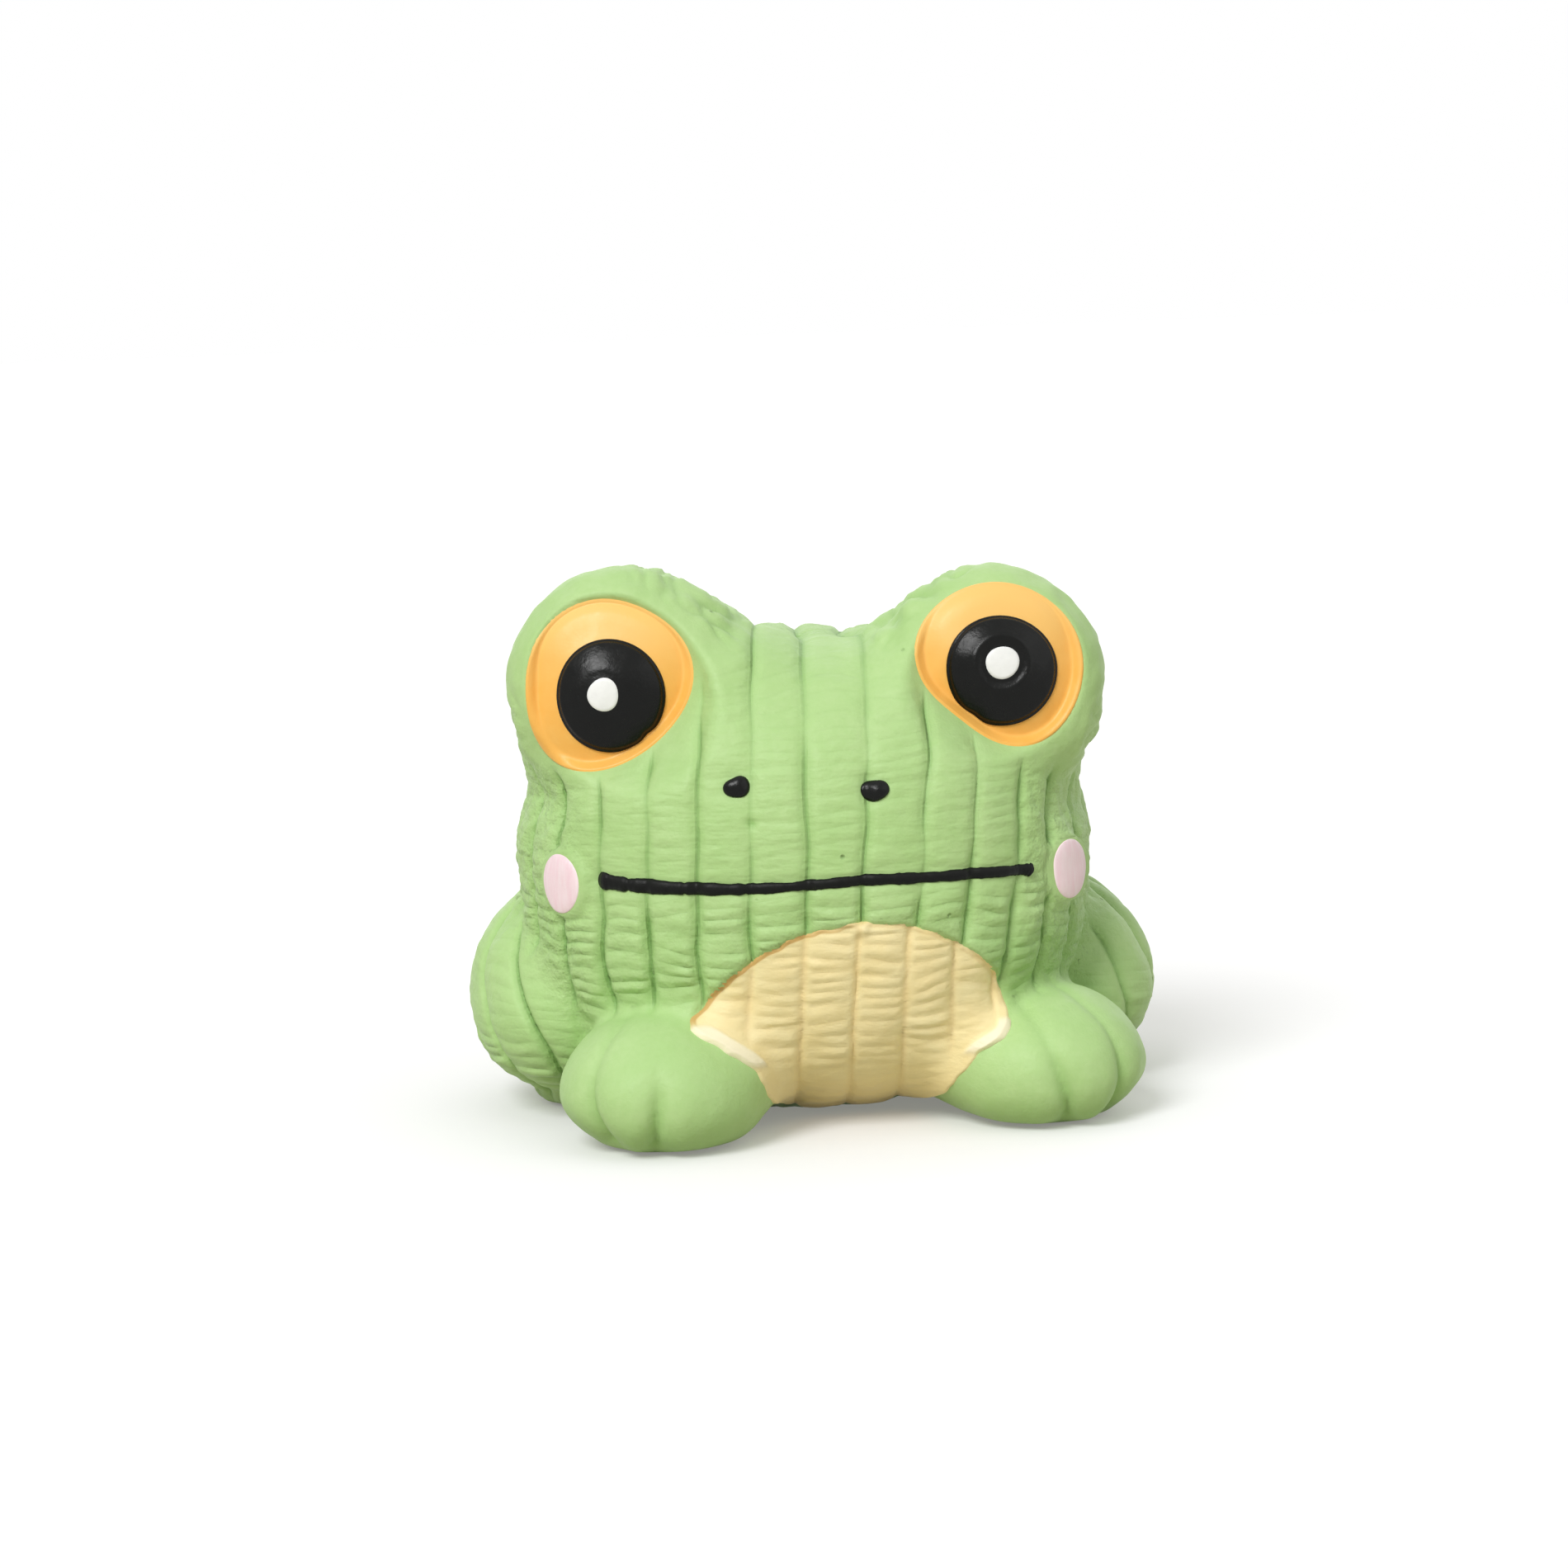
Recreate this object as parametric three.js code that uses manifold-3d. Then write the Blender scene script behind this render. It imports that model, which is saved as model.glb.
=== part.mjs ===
// A squeaky frog toy: a hollow latex moulding with upright ribs, thick hand-laid paint on its eyes,
// nostrils, mouth, cheeks and belly, a fibre filling, and a reed squeaker gripped by the base.
// Millimetres, +Z up. The face looks along -Y, so the toy's own left is +X.
import * as THREE from "three";
import { mergeVertices } from "three/addons/utils/BufferGeometryUtils.js";
import Module from "manifold-3d";

const wasm = await Module();
wasm.setup();

// Latex wall, and the clearance between pieces that touch
const WALL = 2.4;
const SEAT_GAP = 0.3;
const PAINT_THICKNESS = 0.6;

// Head and body: one ball, widest at the waist, with a level crown across the top
const BODY_HALF_WIDTH = 36.2;
const BODY_FRONT_DEPTH = 33;
const BODY_BACK_DEPTH = 31;
const BODY_WAIST_HEIGHT = 27.2;
const BODY_HEIGHT = 59.6;
const BODY_SINK = 0.7;
const BODY_PLAN_POWER = 2.4;
const BODY_UPPER_POWER = 3.1;
const BODY_LOWER_POWER = 2.25;
const CROWN_HALF_LENGTH = 26;
const RIB_COUNT = 30;
const RIB_GROOVE_DEPTH = 0.8;
const RIB_GROOVE_WIDTH = 2.4;

// Hand-made sculpt: the face and the seat both sit a little to the toy's left of the body's middle
const FACE_OFFSET = 1;
const SEAT_OFFSET = 1.2;

// Brows: the two mounds that carry the eyes; the toy's right one stands a little higher
const BROW_INSET = 13.2;
const BROW_SPACING = 2 * (BODY_HALF_WIDTH - BROW_INSET);
const BROW_RADIUS = 14;
const BROW_FRONT = 12.2;
const BROW_BACK = 16;
const BROW_FRONT_POWER = 2.6;
const BROW_DROP = 4.8;
const BROW_HEIGHT = BODY_HEIGHT - BROW_DROP;
const BROW_SETBACK = 21.5;
const BROW_FORWARD = BODY_FRONT_DEPTH - BROW_SETBACK;
const BROW_LIFT = 0.7;

// Eyes: a domed ball in a shallow socket, sunk into the front of the brow
const EYE_OUTWARD = 0.6;
const EYE_SINK = 2.7;
const EYE_FORWARD = BROW_FRONT - EYE_SINK;
const EYE_RISE = 1.2;
const EYE_TILT = 12;
const EYE_SPLAY = 6;
const IRIS_RADIUS = 10.6;
const EYEBALL_RADIUS = 9.6;
const EYEBALL_DOME = 2.2;
const SOCKET_DEPTH = 0.5;
const SOCKET_FLARE = 1.6;
const SOCKET_RIM = 0.5;
const PUPIL_RADIUS = 6.9;
const PUPIL_DOME = 0.9;
const HIGHLIGHT_RADIUS = 2.1;
const HIGHLIGHT_DIMPLE = 0.4;

// Seat: haunches, front feet and belly patch face a little to the toy's left of its face
const SEAT_TURN = 10;
const HAUNCH_TUCK = 5;
const HAUNCH_SPACING = 2 * (BODY_HALF_WIDTH - HAUNCH_TUCK);
const HAUNCH_SETBACK = 8;
const HAUNCH_HALF_WIDTH = 12.8;
const HAUNCH_HALF_LENGTH = 21;
const HAUNCH_WAIST_HEIGHT = 13.8;
const HAUNCH_HEIGHT = 28.4;
const HAUNCH_UPPER_POWER = 2;
const HAUNCH_LOWER_POWER = 1.9;
const HAUNCH_SINK = 0.5;
const HAUNCH_SPLAY = 8;
const HAUNCH_RIB_COUNT = 11;
const FOOT_INSET = 12.8;
const FOOT_SPACING = 2 * (BODY_HALF_WIDTH - FOOT_INSET);
const FOOT_TUCK = 11;
const FOOT_FORWARD = BODY_FRONT_DEPTH - FOOT_TUCK;
const FOOT_HALF_WIDTH = 12.6;
const FOOT_HALF_LENGTH = 13.4;
const FOOT_WAIST_HEIGHT = 6.8;
const FOOT_HEIGHT = 16.8;
const FOOT_SINK = 0.9;
const FOOT_SPLAY = 20;
const TOE_WIDTH = 9;
const TOE_GROOVE_DEPTH = 1.5;
const TOE_GROOVE_WIDTH = 3.6;

// Painted face and belly
const MOUTH_INSET = 10.4;
const MOUTH_HALF_LENGTH = BODY_HALF_WIDTH - MOUTH_INSET;
const MOUTH_ABOVE_WAIST = 4.8;
const MOUTH_HEIGHT = BODY_WAIST_HEIGHT + MOUTH_ABOVE_WAIST;
const MOUTH_RISE = 0.3;
const MOUTH_SPANS = 12;
const MOUTH_BEAD_RADIUS = 0.9;
const MOUTH_END_RADIUS = 1.1;
const NOSTRIL_SPACING = 16.4;
const NOSTRIL_ABOVE_MOUTH = 11.4;
const NOSTRIL_HEIGHT = MOUTH_HEIGHT + NOSTRIL_ABOVE_MOUTH;
const NOSTRIL_RADIUS = 1.5;
const CHEEK_INSET = 6;
const CHEEK_SPACING = 2 * (BODY_HALF_WIDTH - CHEEK_INSET);
const CHEEK_BELOW_MOUTH = 0.7;
const CHEEK_HEIGHT = MOUTH_HEIGHT - CHEEK_BELOW_MOUTH;
const CHEEK_RADIUS = 3.7;
const CHEEK_BORDER = 0.4;
const CHEEK_RISE = 0.7;
const BELLY_INSET = 15.8;
const BELLY_HALF_WIDTH = BODY_HALF_WIDTH - BELLY_INSET;
const BELLY_TOP = BODY_WAIST_HEIGHT;
const BELLY_MIDDLE = 12.5;
const BELLY_EDGE_HEIGHT = 1.8;
const BELLY_TUCK = 6;
const BELLY_SETOUT = FOOT_FORWARD - BELLY_TUCK;
const FOOT_SHADE_POWER = 9;

// Squeaker in the base: a flanged cup gripping the latex lip, with a reed on a slotted block inside
const FLANGE_RADIUS = 7.6;
const FLANGE_THICKNESS = 1.1;
const FLANGE_INSET = 0.4;
const NECK_RADIUS = 5.9;
const LIP_THICKNESS = 2.4;
const CUP_WALL = 1;
const CUP_HEIGHT = 17;
const CUP_VENT_RADIUS = 0.7;
const CUP_VENT_COUNT = 6;
const BLOCK_PLUG_HEIGHT = 3;
const BLOCK_LENGTH = 13.6;
const REED_WIDTH = 3.2;
const REED_THICKNESS = 0.25;
const REED_FREE_LENGTH = 6.4;
const REED_TAIL_LENGTH = 2.6;
const REED_OPENING = 0.9;
const AIR_CHANNEL_WIDTH = 2;

const radians = THREE.MathUtils.degToRad;
const signedPower = (value, exponent) => Math.sign(value) * Math.abs(value) ** exponent;
const SIDES = [
  { name: "left", sign: 1 },
  { name: "right", sign: -1 },
];

// A closed geometry as a solid for joining and cutting, with shared vertices merged
function solidOf(geometry) {
  const bare = new THREE.BufferGeometry();
  bare.setAttribute("position", geometry.getAttribute("position").clone());
  bare.setIndex(geometry.index);
  const merged = mergeVertices(bare, 1e-4);
  const corners = merged.index.array;
  const triVerts = [];
  for (let i = 0; i < corners.length; i += 3) {
    const [a, b, c] = corners.slice(i, i + 3);
    if (a !== b && b !== c && c !== a) triVerts.push(a, b, c);
  }
  const vertProperties = merged.getAttribute("position").array;
  return new wasm.Manifold(
    new wasm.Mesh({ numProp: 3, vertProperties, triVerts: new Uint32Array(triVerts) }),
  );
}

function geometryOf(solid) {
  const mesh = solid.getMesh();
  const geometry = new THREE.BufferGeometry();
  geometry.setAttribute("position", new THREE.BufferAttribute(mesh.vertProperties, 3));
  geometry.setIndex(new THREE.BufferAttribute(mesh.triVerts, 1));
  return geometry;
}

const joined = (solids) => solids.reduce((sum, solid) => sum.add(solid));

// Plan outline of a moulded form, walked by arc length from its front towards +X
class PlanOutline extends THREE.Curve {
  constructor(form) {
    super();
    this.form = form;
    this.arcLengthDivisions = 720;
  }

  getPoint(t, target = new THREE.Vector3()) {
    const across = Math.sin(2 * Math.PI * t);
    const ahead = Math.cos(2 * Math.PI * t);
    const depth = ahead > 0 ? this.form.front : this.form.back;
    const exponent = 2 / this.form.planPower;
    return target.set(
      this.form.halfWidth * signedPower(across, exponent),
      -depth * signedPower(ahead, exponent),
      0,
    );
  }
}

// Where a form's rings are at a rise from 0 (lowest point) to 1 (highest point)
function ringAt(form, rise) {
  const angle = (rise - 0.5) * Math.PI;
  const upper = angle >= 0;
  const exponent = 2 / (upper ? form.upperPower : form.lowerPower);
  const lift = Math.abs(Math.sin(angle)) ** exponent;
  const spread = Math.max(Math.cos(angle), 0) ** exponent;
  const crown = upper ? form.crown / form.halfWidth : 0;
  const end = upper ? form.top : form.bottom;
  return {
    z: form.waist + (end - form.waist) * lift,
    acrossScale: crown + (1 - crown) * spread,
    depthScale: spread,
  };
}

// Shortest way between two turns, each a share of the way round
const turnsApart = (a, b) => Math.abs(a - b - Math.round(a - b));

// Turns of the upright columns of a form: three to each groove, evenly spaced ones between
function columnTurns(form, grooveHalf) {
  const turns = form.grooves.flatMap((groove) => [groove - grooveHalf, groove, groove + grooveHalf]);
  for (let i = 0; i < form.columns; i += 1) {
    const turn = i / form.columns;
    if (form.grooves.every((groove) => turnsApart(turn, groove) > 1.6 * grooveHalf)) turns.push(turn);
  }
  return turns.map((turn) => turn - Math.floor(turn)).sort((a, b) => a - b);
}

// A moulded form: one plan outline lofted over its height, with upright grooves sunk along the normal
// and the whole surface moved out by swell
function formSolid(form, swell = 0) {
  const outline = new PlanOutline(form);
  const grooveHalf = form.grooveWidth / 2 / outline.getLength();
  const turns = columnTurns(form, grooveHalf);
  const smooth = (turn, rise) => {
    const ring = ringAt(form, rise);
    const plan = outline.getPointAt(turn - Math.floor(turn));
    return new THREE.Vector3(plan.x * ring.acrossScale, plan.y * ring.depthScale, ring.z);
  };
  const point = (turn, rise) => {
    const step = 2e-3;
    const along = smooth(turn + step, rise).sub(smooth(turn - step, rise));
    const upward = smooth(turn, rise + step).sub(smooth(turn, rise - step));
    const normal = along.cross(upward).normalize();
    const nearest = Math.min(1, ...form.grooves.map((groove) => turnsApart(turn, groove) / grooveHalf));
    const depth = form.grooveDepth * Math.min(1, form.grooveFade * ringAt(form, rise).acrossScale);
    return smooth(turn, rise).addScaledVector(normal, swell - depth * (1 - nearest));
  };

  const positions = [0, 0, form.bottom - swell];
  for (let row = 1; row < form.rows; row += 1) {
    for (const turn of turns) positions.push(...point(turn, row / form.rows));
  }
  if (form.crown === 0) positions.push(0, 0, form.top + swell);

  const count = turns.length;
  const topRing = 1 + (form.rows - 2) * count;
  const index = [];
  for (let i = 0; i < count; i += 1) {
    const next = (i + 1) % count;
    index.push(0, 1 + next, 1 + i);
    for (let low = 1; low < topRing; low += count) {
      const high = low + count;
      index.push(low + i, low + next, high + next, low + i, high + next, high + i);
    }
    if (form.crown === 0) index.push(topRing + i, topRing + next, topRing + count);
  }
  // A crown closes by strips that run over it from each front column to the back column behind it
  const column = (i) => topRing + ((i + count) % count);
  const half = count / 2;
  const strips = form.crown > 0 ? Math.floor(half / 2) : 0;
  for (let i = -strips; i < strips; i += 1) {
    const [near, beside, beyond, behind] = [i, i + 1, half - i - 1, half - i].map(column);
    index.push(near, beside, beyond, near, beyond, behind);
  }
  const geometry = new THREE.BufferGeometry();
  geometry.setAttribute("position", new THREE.Float32BufferAttribute(positions, 3));
  geometry.setIndex(index);
  return solidOf(geometry);
}

// The same form drawn in by a wall's thickness, without grooves and with fewer facets
const drawnIn = (form, amount) => ({
  ...form,
  halfWidth: form.halfWidth - amount,
  front: form.front - amount,
  back: form.back - amount,
  top: form.top - amount,
  bottom: form.bottom + form.sink + amount,
  crown: Math.max(form.crown - amount, 0),
  grooves: [],
  columns: form.innerColumns,
  rows: form.innerRows,
});

const evenGrooves = (count) => Array.from({ length: count }, (_, i) => i / count);

const bodyForm = {
  halfWidth: BODY_HALF_WIDTH,
  front: BODY_FRONT_DEPTH,
  back: BODY_BACK_DEPTH,
  waist: BODY_WAIST_HEIGHT,
  top: BODY_HEIGHT,
  bottom: -BODY_SINK,
  sink: BODY_SINK,
  planPower: BODY_PLAN_POWER,
  upperPower: BODY_UPPER_POWER,
  lowerPower: BODY_LOWER_POWER,
  crown: CROWN_HALF_LENGTH,
  grooves: evenGrooves(RIB_COUNT),
  grooveDepth: RIB_GROOVE_DEPTH,
  grooveWidth: RIB_GROOVE_WIDTH,
  grooveFade: 1.6,
  columns: 0,
  rows: 12,
  innerColumns: 20,
  innerRows: 8,
};

const browForm = {
  halfWidth: BROW_RADIUS,
  front: BROW_RADIUS,
  back: BROW_RADIUS,
  waist: 0,
  top: BROW_FRONT,
  bottom: -BROW_BACK,
  sink: 0,
  planPower: 2,
  upperPower: BROW_FRONT_POWER,
  lowerPower: 2,
  crown: 0,
  grooves: [],
  grooveDepth: 0,
  grooveWidth: 1,
  grooveFade: 1,
  columns: 20,
  rows: 9,
  innerColumns: 10,
  innerRows: 6,
};

const haunchForm = {
  halfWidth: HAUNCH_HALF_WIDTH,
  front: HAUNCH_HALF_LENGTH,
  back: HAUNCH_HALF_LENGTH,
  waist: HAUNCH_WAIST_HEIGHT,
  top: HAUNCH_HEIGHT,
  bottom: -HAUNCH_SINK,
  sink: HAUNCH_SINK,
  planPower: 2,
  upperPower: HAUNCH_UPPER_POWER,
  lowerPower: HAUNCH_LOWER_POWER,
  crown: 0,
  grooves: evenGrooves(HAUNCH_RIB_COUNT),
  grooveDepth: RIB_GROOVE_DEPTH,
  grooveWidth: RIB_GROOVE_WIDTH,
  grooveFade: 1.6,
  columns: 0,
  rows: 8,
  innerColumns: 12,
  innerRows: 6,
};

const footForm = {
  halfWidth: FOOT_HALF_WIDTH,
  front: FOOT_HALF_LENGTH,
  back: FOOT_HALF_LENGTH,
  waist: FOOT_WAIST_HEIGHT,
  top: FOOT_HEIGHT,
  bottom: -FOOT_SINK,
  sink: FOOT_SINK,
  planPower: 2,
  upperPower: 2,
  lowerPower: 2.3,
  crown: 0,
  grooves: [],
  grooveDepth: TOE_GROOVE_DEPTH,
  grooveWidth: TOE_GROOVE_WIDTH,
  grooveFade: 1.6,
  columns: 16,
  rows: 8,
  innerColumns: 12,
  innerRows: 6,
};
const toeTurn = TOE_WIDTH / 2 / new PlanOutline(footForm).getLength();
footForm.grooves = [-toeTurn, toeTurn];

// A frame on a surface: its Z axis along the outward normal, its X axis level
function surfaceFrame(position, normal) {
  const level = new THREE.Vector3(0, 0, 1).cross(normal).normalize();
  const upward = normal.clone().cross(level);
  return new THREE.Matrix4().makeBasis(level, upward, normal).setPosition(position);
}

// Where an eye looks; its brow stands along the same line
function eyeNormal(sign) {
  const tilt = radians(EYE_TILT);
  const splay = radians(EYE_SPLAY);
  return new THREE.Vector3(
    sign * Math.sin(splay) * Math.cos(tilt),
    -Math.cos(splay) * Math.cos(tilt),
    Math.sin(tilt),
  );
}

// Matrices that stand each form in its place
const moved = (x, y, z) => new THREE.Matrix4().makeTranslation(x, y, z);
const turnedZ = (degrees) => new THREE.Matrix4().makeRotationZ(radians(degrees));
const seatPlace = moved(SEAT_OFFSET, 0, 0).multiply(turnedZ(SEAT_TURN));
const faceX = (sign, spacing) => FACE_OFFSET + (sign * spacing) / 2;
function browPlace(sign) {
  const height = BROW_HEIGHT - sign * BROW_LIFT;
  return surfaceFrame(new THREE.Vector3(faceX(sign, BROW_SPACING), -BROW_FORWARD, height), eyeNormal(sign));
}
const onSeat = (x, y, turn) => seatPlace.clone().multiply(moved(x, y, 0)).multiply(turnedZ(turn));
const haunchPlace = (sign) => onSeat((sign * HAUNCH_SPACING) / 2, HAUNCH_SETBACK, sign * HAUNCH_SPLAY);
const footPlace = (sign) => onSeat((sign * FOOT_SPACING) / 2, -FOOT_FORWARD, sign * FOOT_SPLAY);
const placed = (solid, matrix) => solid.transform(matrix.elements);
const bothSides = (solid, place) => SIDES.map(({ sign }) => placed(solid, place(sign)));

// All the moulded forms, drawn in by an amount where they shape the inside
function mouldedForms(change) {
  return joined([
    formSolid(change(bodyForm)),
    ...bothSides(formSolid(change(browForm)), browPlace),
    ...bothSides(formSolid(change(haunchForm)), haunchPlace),
    ...bothSides(formSolid(change(footForm)), footPlace),
  ]);
}

// Depth of the smooth face at a place across and up the front of the body
function faceDepth(x, z) {
  const upper = z >= BODY_WAIST_HEIGHT;
  const power = upper ? BODY_UPPER_POWER : BODY_LOWER_POWER;
  const reach = upper ? BODY_HEIGHT - BODY_WAIST_HEIGHT : BODY_WAIST_HEIGHT + BODY_SINK;
  const spread = Math.max(1 - (Math.abs(z - BODY_WAIST_HEIGHT) / reach) ** power, 0) ** (1 / power);
  const crown = upper ? CROWN_HALF_LENGTH / BODY_HALF_WIDTH : 0;
  const across = Math.abs(x) / (BODY_HALF_WIDTH * (crown + (1 - crown) * spread));
  const bulge = Math.max(1 - across ** BODY_PLAN_POWER, 0) ** (1 / BODY_PLAN_POWER);
  return -BODY_FRONT_DEPTH * spread * bulge;
}

function facePlace(x, z) {
  const step = 0.05;
  const slopeX = (faceDepth(x + step, z) - faceDepth(x - step, z)) / (2 * step);
  const slopeZ = (faceDepth(x, z + step) - faceDepth(x, z - step)) / (2 * step);
  const normal = new THREE.Vector3(slopeX, -1, slopeZ).normalize();
  return surfaceFrame(new THREE.Vector3(x, faceDepth(x, z), z), normal);
}

// A turned solid about Z from a profile of [radius, height] pairs, listed upwards round the outside
function spun(profile, segments) {
  const points = profile.map(([radius, height]) => new THREE.Vector2(radius, height));
  return new THREE.LatheGeometry(points, segments).rotateX(Math.PI / 2);
}

// Points along a dome of given rise over given radius, between two radii, moved out by offset
function domeProfile(fromRadius, toRadius, offset, steps) {
  const sphere = (EYEBALL_RADIUS ** 2 + EYEBALL_DOME ** 2) / (2 * EYEBALL_DOME);
  const centre = EYEBALL_DOME - sphere;
  return Array.from({ length: steps + 1 }, (_, i) => {
    const radius = fromRadius + ((toRadius - fromRadius) * i) / steps;
    return [radius, centre + Math.sqrt((sphere + offset) ** 2 - radius ** 2)];
  });
}

const EYE_SEGMENTS = 24;
const socketRadius = IRIS_RADIUS + SEAT_GAP;

function eyePlace(sign) {
  const position = new THREE.Vector3(
    faceX(sign, BROW_SPACING + 2 * EYE_OUTWARD),
    -BROW_FORWARD - EYE_FORWARD,
    BROW_HEIGHT + EYE_RISE,
  );
  return surfaceFrame(position, eyeNormal(sign));
}

// Round and behind each eye the latex stays solid, so that the socket never opens into the hollow
function eyeCollars(swell) {
  const radius = socketRadius + SOCKET_FLARE + WALL + swell;
  const depth = SOCKET_DEPTH + WALL + swell;
  const collar = solidOf(spun([[0, -depth], [radius, -depth], [radius, IRIS_RADIUS], [0, IRIS_RADIUS]], 16));
  return joined(bothSides(collar, eyePlace));
}

// Rim round the eye, and the space the socket clears in front of it
const rimRadius = socketRadius + SOCKET_RIM;
const eyeBacking = solidOf(spun([[0, -SOCKET_DEPTH - WALL], [rimRadius, -SOCKET_DEPTH - WALL],
  [rimRadius, 0], [0, 0]], EYE_SEGMENTS));
const eyeball = solidOf(spun([[0, -SOCKET_DEPTH - WALL], [EYEBALL_RADIUS, -SOCKET_DEPTH - WALL],
  ...domeProfile(EYEBALL_RADIUS, 0, 0, 4)], EYE_SEGMENTS));
const socketSpace = solidOf(spun([[0, -SOCKET_DEPTH], [socketRadius, -SOCKET_DEPTH],
  [socketRadius, PAINT_THICKNESS], [socketRadius + SOCKET_FLARE, PAINT_THICKNESS + SOCKET_FLARE],
  [socketRadius + SOCKET_FLARE, 2 * IRIS_RADIUS], [0, 2 * IRIS_RADIUS]], EYE_SEGMENTS));

// Iris: a painted ring over the eyeball, running down into the groove round it
const irisInner = PUPIL_RADIUS + SEAT_GAP;
const irisGeometry = spun([
  ...domeProfile(irisInner, EYEBALL_RADIUS + SEAT_GAP, SEAT_GAP, 2),
  [IRIS_RADIUS, SEAT_GAP],
  [IRIS_RADIUS, PAINT_THICKNESS],
  ...domeProfile(EYEBALL_RADIUS, irisInner, SEAT_GAP + PAINT_THICKNESS, 2),
  [irisInner, domeProfile(irisInner, irisInner, SEAT_GAP, 1)[0][1]],
], EYE_SEGMENTS);

// Pupil: a raised blob with a rounded edge and a dimple that holds the highlight
const dimpleRadius = HIGHLIGHT_RADIUS + SEAT_GAP;
const pupilTop = SEAT_GAP + PAINT_THICKNESS + PUPIL_DOME;
const pupilGeometry = spun([
  ...domeProfile(0, PUPIL_RADIUS, SEAT_GAP, 2),
  ...domeProfile(PUPIL_RADIUS, PUPIL_RADIUS, SEAT_GAP + PAINT_THICKNESS, 1).slice(1),
  ...domeProfile(0.9 * PUPIL_RADIUS, dimpleRadius, pupilTop, 2),
  ...domeProfile(dimpleRadius, 0, pupilTop - HIGHLIGHT_DIMPLE, 1),
], EYE_SEGMENTS);
const highlightGeometry = spun([
  ...domeProfile(0, HIGHLIGHT_RADIUS, pupilTop - HIGHLIGHT_DIMPLE + SEAT_GAP, 1),
  ...domeProfile(0.8 * HIGHLIGHT_RADIUS, 0, pupilTop + PAINT_THICKNESS, 1),
], 16);

// Nostrils: glossy beads half sunk in pits
const nostrilBead = (radius) => new THREE.SphereGeometry(radius, 12, 7).scale(1.1, 0.9, 0.8);
const nostrilPlace = (sign) => facePlace(faceX(sign, NOSTRIL_SPACING), NOSTRIL_HEIGHT);

// Mouth: a bead laid in a groove along the face, with a blob at each end
const mouthPoint = (share) => {
  const x = FACE_OFFSET + share * MOUTH_HALF_LENGTH;
  const z = MOUTH_HEIGHT + MOUTH_RISE * share ** 2;
  return new THREE.Vector3(x, faceDepth(x, z), z);
};
const mouthPoints = Array.from({ length: MOUTH_SPANS + 1 }, (_, i) => mouthPoint((2 * i) / MOUTH_SPANS - 1));
const mouthPath = new THREE.CatmullRomCurve3(mouthPoints);
function mouthBead(extra) {
  const section = new THREE.Shape().absarc(0, 0, MOUTH_BEAD_RADIUS + extra, 0, 2 * Math.PI);
  const run = new THREE.ExtrudeGeometry(section, { extrudePath: mouthPath, steps: 16, curveSegments: 4 });
  const ends = [-1, 1].map((share) => {
    const end = new THREE.SphereGeometry(MOUTH_END_RADIUS + extra, 10, 6);
    return solidOf(end.translate(...mouthPoint(share)));
  });
  return joined([solidOf(run), ...ends]);
}

// Cheeks: low round bosses in the latex, each with a painted face
const bossRadius = CHEEK_RADIUS + CHEEK_BORDER;
const cheekPlace = (sign) => facePlace(faceX(sign, CHEEK_SPACING), CHEEK_HEIGHT);
const cheekBoss = solidOf(spun([[0, -WALL], [bossRadius, -WALL], [bossRadius, 0.6 * CHEEK_RISE],
  [CHEEK_RADIUS, CHEEK_RISE], [0, CHEEK_RISE]], 20));
const cheekGeometry = spun([[0, CHEEK_RISE + SEAT_GAP], [CHEEK_RADIUS, CHEEK_RISE + SEAT_GAP],
  [0.85 * CHEEK_RADIUS, CHEEK_RISE + SEAT_GAP + PAINT_THICKNESS],
  [0, CHEEK_RISE + SEAT_GAP + 1.3 * PAINT_THICKNESS]], 20);

// Base: a thick pad with a recess and a hole, leaving a lip for the squeaker to grip
const recessRadius = FLANGE_RADIUS + SEAT_GAP;
const recessDepth = FLANGE_INSET + FLANGE_THICKNESS + SEAT_GAP;
const lipTop = recessDepth + LIP_THICKNESS;
const padRadius = recessRadius + WALL;
const basePad = solidOf(spun([[0, 0], [padRadius, 0], [padRadius, lipTop], [0, lipTop]], 24));
const holeRadius = NECK_RADIUS + SEAT_GAP;
const baseHole = solidOf(spun([[0, -1], [recessRadius, -1], [recessRadius, recessDepth],
  [holeRadius, recessDepth], [holeRadius, lipTop + 1], [0, lipTop + 1]], 24));

// Everything below the standing surface is cut away
const reach = 4 * BODY_HALF_WIDTH;
const belowHeight = (height) => {
  const block = new THREE.BoxGeometry(reach, reach, reach);
  return solidOf(block.translate(0, 0, height - reach / 2));
};

const hollow = mouldedForms((form) => drawnIn(form, WALL)).subtract(eyeCollars(0));
const skinSolid = mouldedForms((form) => form)
  .subtract(hollow)
  .add(joined(bothSides(eyeBacking, eyePlace)))
  .add(joined(bothSides(cheekBoss, cheekPlace)))
  .add(basePad)
  .subtract(joined(bothSides(socketSpace, eyePlace)))
  .add(joined(bothSides(eyeball, eyePlace)))
  .subtract(joined(bothSides(solidOf(nostrilBead(NOSTRIL_RADIUS + SEAT_GAP)), nostrilPlace)))
  .subtract(mouthBead(SEAT_GAP))
  .subtract(baseHole)
  .subtract(belowHeight(0));

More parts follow.
